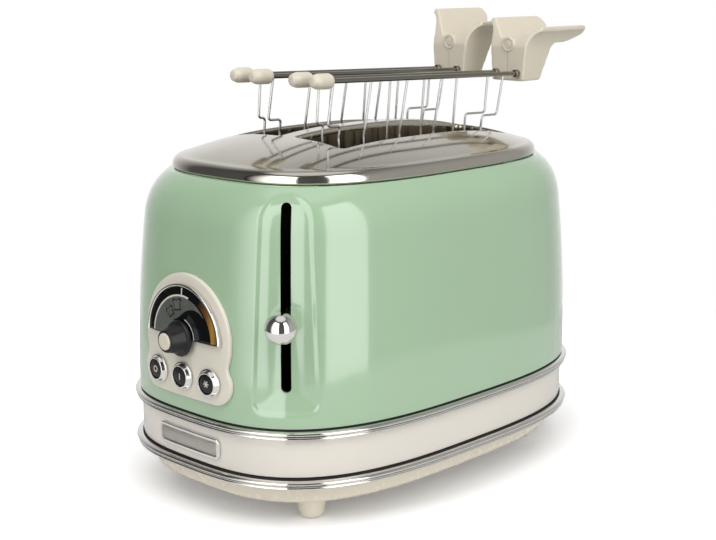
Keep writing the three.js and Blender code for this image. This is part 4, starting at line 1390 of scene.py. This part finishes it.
def chosen(tree, factor, first, second, kind="FLOAT"):
    """The second of two values where a factor is one."""
    inputs = {"Factor": factor, "A": first, "B": second}
    return added(tree, "Mix", inputs, data_type=kind).outputs["Result"]


def brighter(tree, first, second):
    """The higher of two values."""
    return added(tree, "Math", {0: first, 1: second}, operation="MAXIMUM").outputs["Value"]


def along(tree, vector, direction):
    """How far a vector reaches in a direction."""
    inputs = {0: vector, 1: direction}
    return added(tree, "VectorMath", inputs, operation="DOT_PRODUCT").outputs["Value"]


def new_finish(name, color, roughness, metallic=0.0):
    """A material with its shader, and the object coordinates that its patterns read."""
    material = bpy.data.materials.new(name)
    material.use_nodes = True
    tree = material.node_tree
    shader = tree.nodes["Principled BSDF"]
    fed(tree, shader, {"Base Color": (*color, 1), "Roughness": roughness, "Metallic": metallic})
    return material, tree, shader, added(tree, "TexCoord", {}).outputs["Object"]


def from_srgb(red, green, blue):
    """A linear colour from values of 0 to 255 as a screen shows them."""

    def linear(value):
        value /= 255
        return value / 12.92 if value <= 0.04045 else ((value + 0.055) / 1.055) ** 2.4

    return linear(red), linear(green), linear(blue)


def make_grain():
    """The pattern that the finishes share: a broad shift of colour and a fine grain."""
    group = bpy.data.node_groups.new("grain", "ShaderNodeTree")
    for name, kind in (
        ("Vector", "Vector"), ("Stretch", "Vector"), ("Colour", "Color"), ("Shade", "Color"),
        ("Broad", "Float"), ("Fine", "Float"), ("Low", "Float"), ("High", "Float"),
    ):
        group.interface.new_socket(name, in_out="INPUT", socket_type=f"NodeSocket{kind}")
    for name, kind in (("Colour", "Color"), ("Roughness", "Float"), ("Height", "Float")):
        group.interface.new_socket(name, in_out="OUTPUT", socket_type=f"NodeSocket{kind}")
    given = group.nodes.new("NodeGroupInput").outputs
    result = group.nodes.new("NodeGroupOutput")
    inputs = {0: given["Vector"], 1: given["Stretch"]}
    stretched = added(group, "VectorMath", inputs, operation="MULTIPLY").outputs["Vector"]
    inputs = {"Vector": given["Vector"], "Scale": given["Broad"], "Detail": 2}
    broad = added(group, "TexNoise", inputs).outputs["Fac"]
    inputs = {"Vector": stretched, "Scale": given["Fine"], "Detail": 3}
    fine = added(group, "TexNoise", inputs).outputs["Fac"]
    color = chosen(group, broad, given["Colour"], given["Shade"], "RGBA")
    roughness = spread(group, fine, 0.3, 0.7, given["Low"], given["High"])
    fed(group, result, {"Colour": color, "Roughness": roughness, "Height": fine})
    return group


GRAIN = make_grain()


def grained(
    name, color, shade, roughness, broad, fine, relief=0.0, metallic=0.0, stretch=(1, 1, 1)
):
    """A finish with the shared grain. Roughness is (lowest, highest), relief a depth in metres."""
    material, tree, shader, place_of = new_finish(name, color, roughness[0], metallic)
    grain = tree.nodes.new("ShaderNodeGroup")
    grain.node_tree = GRAIN
    inputs = {
        "Vector": place_of, "Stretch": stretch, "Colour": (*color, 1), "Shade": (*shade, 1),
        "Broad": broad, "Fine": fine, "Low": roughness[0], "High": roughness[1],
    }
    made = fed(tree, grain, inputs).outputs
    fed(tree, shader, {"Base Color": made["Colour"], "Roughness": made["Roughness"]})
    if relief:
        bump = added(tree, "Bump", {"Strength": 1.0, "Distance": relief, "Height": made["Height"]})
        tree.links.new(bump.outputs["Normal"], shader.inputs["Normal"])
    return material, tree, shader, place_of


def enamel(name, color, shade, roughness=0.12):
    color, shade = from_srgb(*color), from_srgb(*shade)
    limits = (roughness * 0.8, roughness * 1.25)
    material, tree, shader, _ = grained(name, color, shade, limits, 14, 240, relief=0.000003)
    fed(tree, shader, {"Coat Weight": 1.0, "Coat Roughness": 0.07})
    return material


def metal(name, color, low, high, stretch=(1, 1, 1), scale=120, relief=0.0):
    color = from_srgb(*color)
    dull = tuple(part * 0.93 for part in color)
    return grained(name, color, dull, (low, high), 25, scale, relief, 1, stretch)[0]


def plastic(name, color, shade, roughness, shine=0.5):
    color, shade = from_srgb(*color), from_srgb(*shade)
    limits = (roughness * 0.92, roughness * 1.08)
    material, tree, shader, _ = grained(name, color, shade, limits, 18, 90, relief=0.000003)
    fed(tree, shader, {"Specular IOR Level": shine})
    return material


def striped(name, color, stripe, roughness, pitch, width_share, axis="Z", metallic=0.0):
    """A finish crossed by level ribbons or tracks at a pitch."""
    color = from_srgb(*color)
    dull = tuple(part * 0.86 for part in color)
    material, tree, shader, place_of = grained(
        name, color, dull, roughness, 60, 300, 0.00001, metallic
    )
    grain_color = shader.inputs["Base Color"].links[0].from_socket
    inputs = {"Scale": 0.314 / pitch, "Distortion": 0.15, "Vector": place_of}
    wave = added(tree, "TexWave", inputs, bands_direction=axis).outputs["Fac"]
    mask = spread(tree, wave, 1 - width_share, 1.1 - width_share, 0.0, 1.0)
    ribbons = chosen(tree, mask, grain_color, (*from_srgb(*stripe), 1), "RGBA")
    tree.links.new(ribbons, shader.inputs["Base Color"])
    return material


GREEN = enamel("green_enamel", (166, 194, 162), (162, 191, 158))
CREAM_ENAMEL = enamel("cream_enamel", (227, 221, 211), (223, 216, 205), 0.2)
PAN_CREAM = enamel("pan_cream", (228, 219, 201), (224, 214, 196), 0.24)
FOOT_CREAM = plastic("foot_cream", (238, 232, 214), (236, 229, 210), 0.4)
CREAM_PLASTIC = plastic("cream_plastic", (222, 214, 196), (218, 209, 190), 0.36)
PANEL_CREAM = plastic("panel_cream", (222, 217, 203), (219, 213, 198), 0.3)
CHROME = metal("polished_chrome", (232, 230, 226), 0.03, 0.08)
ROD_CHROME = metal("rod_chrome", (150, 146, 136), 0.1, 0.2)
WIRE_CHROME = metal("wire_chrome", (222, 221, 218), 0.26, 0.38)
STEEL = metal("satin_steel", (208, 203, 192), 0.07, 0.13, (1, 30, 1), 60, 0.000002)
SHEET = metal("sheet_steel", (168, 164, 156), 0.3, 0.5, (1, 1, 12), 80)
WALL_STEEL = metal("slot_wall_steel", (150, 138, 118), 0.2, 0.5, (1, 1, 0.03), 280, 0.0005)
PLATE_FIELD = metal("plate_field", (186, 183, 175), 0.28, 0.5, (1, 1, 2), 260, 0.00025)
ALUMINIUM = metal("aluminium", (200, 201, 202), 0.25, 0.42, (1, 20, 1), 50, 0.000005)
DARK_IRON = metal("dark_iron", (92, 90, 88), 0.35, 0.6, scale=200, relief=0.00001)
BLACK = plastic("black_plastic", (24, 24, 25), (20, 20, 21), 0.3, shine=0.35)
# Black rubber for the cord gland, and also the painted shade of the strips over the beads
RUBBER_AND_PAINTED_SHADE = plastic("black_rubber", (30, 29, 29), (24, 24, 24), 0.6, shine=0.3)
PRINT_CREAM = plastic("print_cream", (214, 208, 198), (204, 198, 188), 0.4)
BLACK_GLOSS = plastic("black_gloss", (18, 16, 16), (14, 13, 13), 0.08, shine=0.2)
# Painted reflection: the blue-grey sheen on the dial's black gloss
DIAL_GREY = metal("dial_grey", (150, 154, 146), 0.34, 0.44)
SHEEN_BLUE = metal("dial_sheen_blue", (120, 130, 138), 0.12, 0.2)
MICA = striped("mica", (184, 168, 140), (96, 92, 88), (0.3, 0.5), 0.009, 0.28)
BOARD = striped("circuit_board", (34, 84, 52), (58, 112, 74), (0.35, 0.5), 0.003, 0.3, axis="Y")
WINDING = striped(
    "winding", (150, 88, 52), (88, 48, 30), (0.25, 0.4), 0.0009, 0.4, metallic=1.0
)


def make_amber_reflection():
    """A painted reflection on the glossy black dial: brown at its start, through amber to olive at
    its end.
    """
    material, tree, shader, place_of = new_finish("dial_amber", from_srgb(96, 62, 26), 0.14)
    share = spread(tree, along(tree, place_of, ACROSS), -0.016, -0.031, 0.0, 1.0)
    ramp = added(tree, "ValToRGB", {"Fac": share})
    stops = ramp.color_ramp.elements
    stops[0].color = (*from_srgb(40, 28, 22), 1)
    stops[1].color = (*from_srgb(118, 106, 22), 1)
    for position, color in ((0.45, (104, 68, 34)), (0.8, (170, 124, 54))):
        stops.new(position).color = (*from_srgb(*color), 1)
    tree.links.new(ramp.outputs["Color"], shader.inputs["Base Color"])
    return material


AMBER_REFLECTION = make_amber_reflection()

# The pieces

finished(make_shell(), "housing", ["outer_shell"], GREEN)
plate_piece, slot_walls = make_top_plate()
finished(plate_piece, "housing", ["top_plate"], STEEL)
for slot_wall in slot_walls:
    finished(slot_wall, "housing", [], WALL_STEEL)
for bead_name in ("upper_trim_band", "lower_trim_band"):
    bead_low, bead_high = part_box(bead_name)
    bead_piece = make_bead(f"{bead_name}_bead", bead_low[2], bead_high[2])
    finished(bead_piece, "housing", [bead_name], CHROME)
    # Painted shade: a black strip where the gap over the bead lies in shadow
    finished(make_shadow_strip(f"{bead_name}_seam", bead_high[2]), "housing", [], RUBBER_AND_PAINTED_SHADE)
finished(make_base_band(), "housing", ["base_band"], CREAM_ENAMEL)
finished(make_base_pan(), "housing", ["base_pan"], PAN_CREAM)
for number, foot_piece in enumerate(make_feet(), start=1):
    finished(foot_piece, "housing", [f"foot_{number}"], FOOT_CREAM)

finished(make_panel(), "housing", ["control_panel"], PANEL_CREAM)
finished(make_dial(), "housing", ["dial_face"], BLACK_GLOSS)
finished(make_bezel(), "housing", ["dial_bezel"], CHROME)
finished(make_dial_scale(), "housing", [], DIAL_GREY)
for band_name, band_inner, band_outer, band_start, band_end, band_finish, band_slot in (
    ("dial_line", 0.0253, 0.0264, 76, 178, PRINT_CREAM, "cream_plastic"),
    ("dial_tick", 0.0264, 0.0306, 89, 91, PRINT_CREAM, "cream_plastic"),
    # Painted reflection: an amber band standing in for light mirrored in the dial's black gloss
    ("dial_amber_reflection", 0.0266, 0.0306, 2, 56, AMBER_REFLECTION, "black_plastic"),
    # Painted reflection: a blue-grey sheen band right of the knob
    ("dial_painted_sheen", 0.0126, 0.0170, 4, 66, SHEEN_BLUE, "black_plastic"),
    # Painted highlight: a thin cream arc standing in for a bright line of light on the dial
    ("dial_painted_highlight", 0.0119, 0.0125, 3, 74, PRINT_CREAM, "cream_plastic"),
):
    band_piece = dial_band(band_name, band_inner, band_outer, band_start, band_end)
    finished(band_piece, "housing", [], band_finish)
for mark_name, mark_turn, mark_radius, mark_size in (
    ("low", 125, 0.018, 0.0062), ("high", 101, 0.0204, 0.0074)
):
    edge_piece = make_toast_mark(f"toast_edge_{mark_name}", mark_radius, mark_turn, mark_size, 1)
    finished(edge_piece, "housing", [], BLACK_GLOSS)
    slice_size = mark_size * 0.8
    slice_piece = make_toast_mark(f"toast_{mark_name}", mark_radius, mark_turn, slice_size, 2)
    finished(slice_piece, "housing", [], DIAL_GREY)
knob_piece, cap_piece = make_knob()
finished(knob_piece, "knob", ["browning_knob"], BLACK)
finished(cap_piece, "knob", ["knob_cap"], CREAM_PLASTIC)
for button_number, (button_side, button_body) in enumerate(
    ((1, "far_button"), (0, "middle_button"), (-1, "near_button")), start=1
):
    ring_piece, button_piece = make_button(button_side)
    ring_piece.name = f"button_ring_{button_body}"
    button_piece.name = f"push_{button_body}"
    finished(ring_piece, "housing", [f"button_ring_{button_number}"], CHROME)
    finished(button_piece, button_body, [f"button_{button_number}"], BLACK)
    mark_piece = make_button_mark(button_side)
    mark_piece.name = f"mark_{button_body}"
    finished(mark_piece, button_body, [], PRINT_CREAM)
rim_piece, field_piece = make_name_plate()
finished(rim_piece, "housing", ["name_plate"], CHROME)
finished(field_piece, "housing", [], PLATE_FIELD)
finished(make_lever(), "carriage", ["lever_knob"], CHROME)
for tong, tong_side in (("near_tong", -1), ("far_tong", 1)):
    tong_middle = tong_side * TONG_ACROSS
    for half, half_side in (("front", -1), ("rear", 1)):
        body = f"{tong}_{half}"
        half_middle = tong_middle + half_side * TONG_HALF_GAP
        cage, rail = make_cage(f"{body}_wires", half_middle, half == "rear")
        finished(tilted(cage, half_middle), body, [f"{body}_cage"], WIRE_CHROME)
        finished(tilted(rail, half_middle), body, [], ROD_CHROME)
        tip = tilted(make_tip(f"{body}_bulb", half_middle), half_middle)
        finished(tip, body, [f"{body}_tip"], CREAM_PLASTIC)
        rise = WING_RISES[tong.split("_")[0]][half == "rear"]
        grip = make_handle(f"{body}_grip", tong_middle, half_side, rise)
        finished(grip, body, [f"{body}_handle"], CREAM_PLASTIC)
    boss = make_boss(f"{tong}_boss", tong_middle)
    finished(boss, f"{tong}_front", [], CREAM_PLASTIC)

# The inner pieces keep their shapes and get their finishes

KEPT_PIECES = {
    ALUMINIUM: ["knob_shaft", "potentiometer", "crumb_tray"],
    RUBBER_AND_PAINTED_SHADE: ["cord_gland"],
    CREAM_ENAMEL: ["crumb_tray_front"],
    SHEET: ["front_chassis_plate", "rear_chassis_plate", "bread_carriage", "lever_arm"],
    WIRE_CHROME: ["near_outer_bread_guard", "near_inner_bread_guard", "far_outer_bread_guard",
                  "far_inner_bread_guard", "lift_spring", "near_tong_pin", "far_tong_pin"],
    MICA: ["near_heating_element", "centre_heating_element", "far_heating_element"],
    BOARD: ["control_board"],
    WINDING: ["electromagnet"],
    DARK_IRON: ["latch_armature"],
    CHROME: ["near_guide_rod", "far_guide_rod"],
}
for finish, node_names in KEPT_PIECES.items():
    for node_name in node_names:
        for material_slot in frame["nodes"][node_name].material_slots:
            material_slot.material = finish

# Floor, lights and camera

PHOTO_WIDTH = 716
FOCAL_LENGTH = 1383.09
VIEW_RISE = 60
VIEW_AZIMUTH = math.radians(45.986)
VIEW_PITCH = math.radians(14.811)
VIEW_PLACE = Vector((HOUSING_CENTRE - 0.662386, -0.637750, 0.330765))
FLOOR_RADIUS = 0.5
FLOOR_ALBEDO = 0.83
FLOOR_LIFT = 0.15
FLOOR_FADE_START = 0.1
FLOOR_FADE_END = 0.2
FLOOR_STRETCH = 1.45
WORLD_DIFFUSE = 0.34
ROOM_DARK = 0.1
# Ranges of height that mirrors see in the room: from, to, level below, level above
ROOM_FALL = (0.3, 0.65, 1.0, 0.85)
CEILING_RISE = (0.84, 0.93, 0.0, 0.85)
# Bright sides of the room: direction, start and end of the rise towards it, level there
ROOM_SIDES = (((0.72, 0.69, 0), 0.3, 0.95, 0.9), ((0.82, -0.57, 0), 0.25, 0.8, 0.45))
LAMP_DISTANCE = 1.7
LAMP_HEIGHT = 1.25
CARD_DISTANCE = 1.7
CARD_CENTRE = 0.6
CARD_HEIGHT = 3.2


def make_stage():
    """A pale floor that fades to white round the toaster and keeps its shadow."""
    leave_all()
    bpy.ops.mesh.primitive_circle_add(
        vertices=128, radius=FLOOR_RADIUS, fill_type="NGON", location=(0, 0, -0.0002)
    )
    floor = named("floor")
    settle()
    material, tree, shader, place_of = new_finish("floor", [FLOOR_ALBEDO] * 3, 0.6)
    inputs = {0: place_of, 1: (1 / FLOOR_STRETCH, 1, 0)}
    oval = added(tree, "VectorMath", inputs, operation="MULTIPLY").outputs["Vector"]
    reach = added(tree, "VectorMath", {0: oval}, operation="LENGTH").outputs["Value"]
    seen = spread(tree, reach, FLOOR_FADE_START, FLOOR_FADE_END, FLOOR_LIFT, 1.0)
    lift = chosen(tree, added(tree, "LightPath", {}).outputs["Is Camera Ray"], 0.0, seen)
    inputs = {"Specular IOR Level": 0, "Emission Color": (1, 1, 1, 1), "Emission Strength": lift}
    fed(tree, shader, inputs)
    floor.data.materials.append(material)


def make_world():
    """White for the camera, grey for shading, and for mirrors a room with two bright sides."""
    world = bpy.data.worlds.new("studio")
    bpy.context.scene.world = world
    world.use_nodes = True
    tree = world.node_tree
    rays = added(tree, "LightPath", {}).outputs
    ray_way = added(tree, "TexCoord", {}).outputs["Generated"]
    levels = [
        spread(tree, along(tree, ray_way, side), first, last, ROOM_DARK, bright)
        for side, first, last, bright in ROOM_SIDES
    ]
    height = along(tree, ray_way, UP)
    inputs = {0: brighter(tree, *levels), 1: spread(tree, height, *ROOM_FALL)}
    room = added(tree, "Math", inputs, operation="MULTIPLY").outputs["Value"]
    mirrored = brighter(tree, room, spread(tree, height, *CEILING_RISE))
    strength = chosen(tree, rays["Is Glossy Ray"], WORLD_DIFFUSE, mirrored)
    for ray in ("Is Transmission Ray", "Is Camera Ray"):
        strength = chosen(tree, rays[ray], strength, 1.0)
    fed(tree, tree.nodes["Background"], {"Color": (1, 1, 1, 1), "Strength": strength})


def softbox(name, location, target, width, height, power):
    """A lamp with a broad face that looks at a target, and that mirrors don't show."""
    leave_all()
    bpy.ops.object.light_add(type="AREA", location=location)
    lamp = named(name)
    lamp.data.shape = "RECTANGLE"
    lamp.data.size = width
    lamp.data.size_y = height
    lamp.data.energy = power
    aim = Vector(target) - Vector(location)
    lamp.rotation_euler = aim.to_track_quat("-Z", "Y").to_euler()
    lamp.visible_glossy = False


def make_card(name, degrees, width, strength, fade):
    """An upright white card that only mirrors see, faded over a share of its width at one edge."""
    azimuth = math.radians(degrees)
    side = Vector((math.cos(azimuth), math.sin(azimuth), 0))
    leave_all()
    bpy.ops.mesh.primitive_plane_add(size=1)
    card = named(name)
    card.scale = (width, CARD_HEIGHT, 1)
    card.rotation_euler = (QUARTER, 0, azimuth + QUARTER)
    card.location = Vector((HOUSING_CENTRE, 0, CARD_CENTRE)) + side * CARD_DISTANCE
    settle()
    material, tree, shader, place_of = new_finish(name, (0, 0, 0), 0.5)
    across = along(tree, place_of, (-side.y, side.x, 0))
    glow = spread(tree, across, -width / 2, width * (fade - 0.5), 0.0, 1.0)
    glow.node.interpolation_type = "SMOOTHSTEP"
    inputs = {"Specular IOR Level": 0, "Emission Strength": strength, "Emission Color": glow}
    fed(tree, shader, inputs)
    card.data.materials.append(material)
    card.visible_camera = False
    card.visible_diffuse = False
    card.visible_shadow = False


def make_camera():
    """A camera where the photograph was taken from, its picture shifted upright."""
    data = bpy.data.cameras.new("camera")
    camera = bpy.data.objects.new("camera", data)
    bpy.context.collection.objects.link(camera)
    level = math.cos(VIEW_PITCH)
    look = Vector(
        (math.sin(VIEW_AZIMUTH) * level, math.cos(VIEW_AZIMUTH) * level, -math.sin(VIEW_PITCH))
    )
    camera.location = VIEW_PLACE
    camera.rotation_mode = "QUATERNION"
    camera.rotation_quaternion = look.to_track_quat("-Z", "Y")
    data.lens = data.sensor_width * FOCAL_LENGTH / PHOTO_WIDTH
    data.shift_y = VIEW_RISE / PHOTO_WIDTH
    bpy.context.scene.camera = camera


make_stage()
make_world()
for lamp_name, lamp_side, lamp_power in (
    ("right_lamp", (-0.087, -0.996, 0), 22), ("left_lamp", (-0.996, -0.087, 0), 14.5)
):
    lamp_place = Vector((HOUSING_CENTRE, 0, LAMP_HEIGHT)) + Vector(lamp_side) * LAMP_DISTANCE
    softbox(lamp_name, lamp_place, (0, 0, 0.3), width=1.5, height=2.4, power=lamp_power)
softbox("top_lamp", (-0.6, -0.5, 1.85), (0, 0, 0.12), width=1.6, height=1.6, power=12)
make_card("right_card", degrees=264, width=0.95, strength=2.8, fade=0.06)
make_card("left_card", degrees=181, width=2.04, strength=2.6, fade=0.6)
make_camera()
bpy.context.scene.view_settings.view_transform = "Standard"
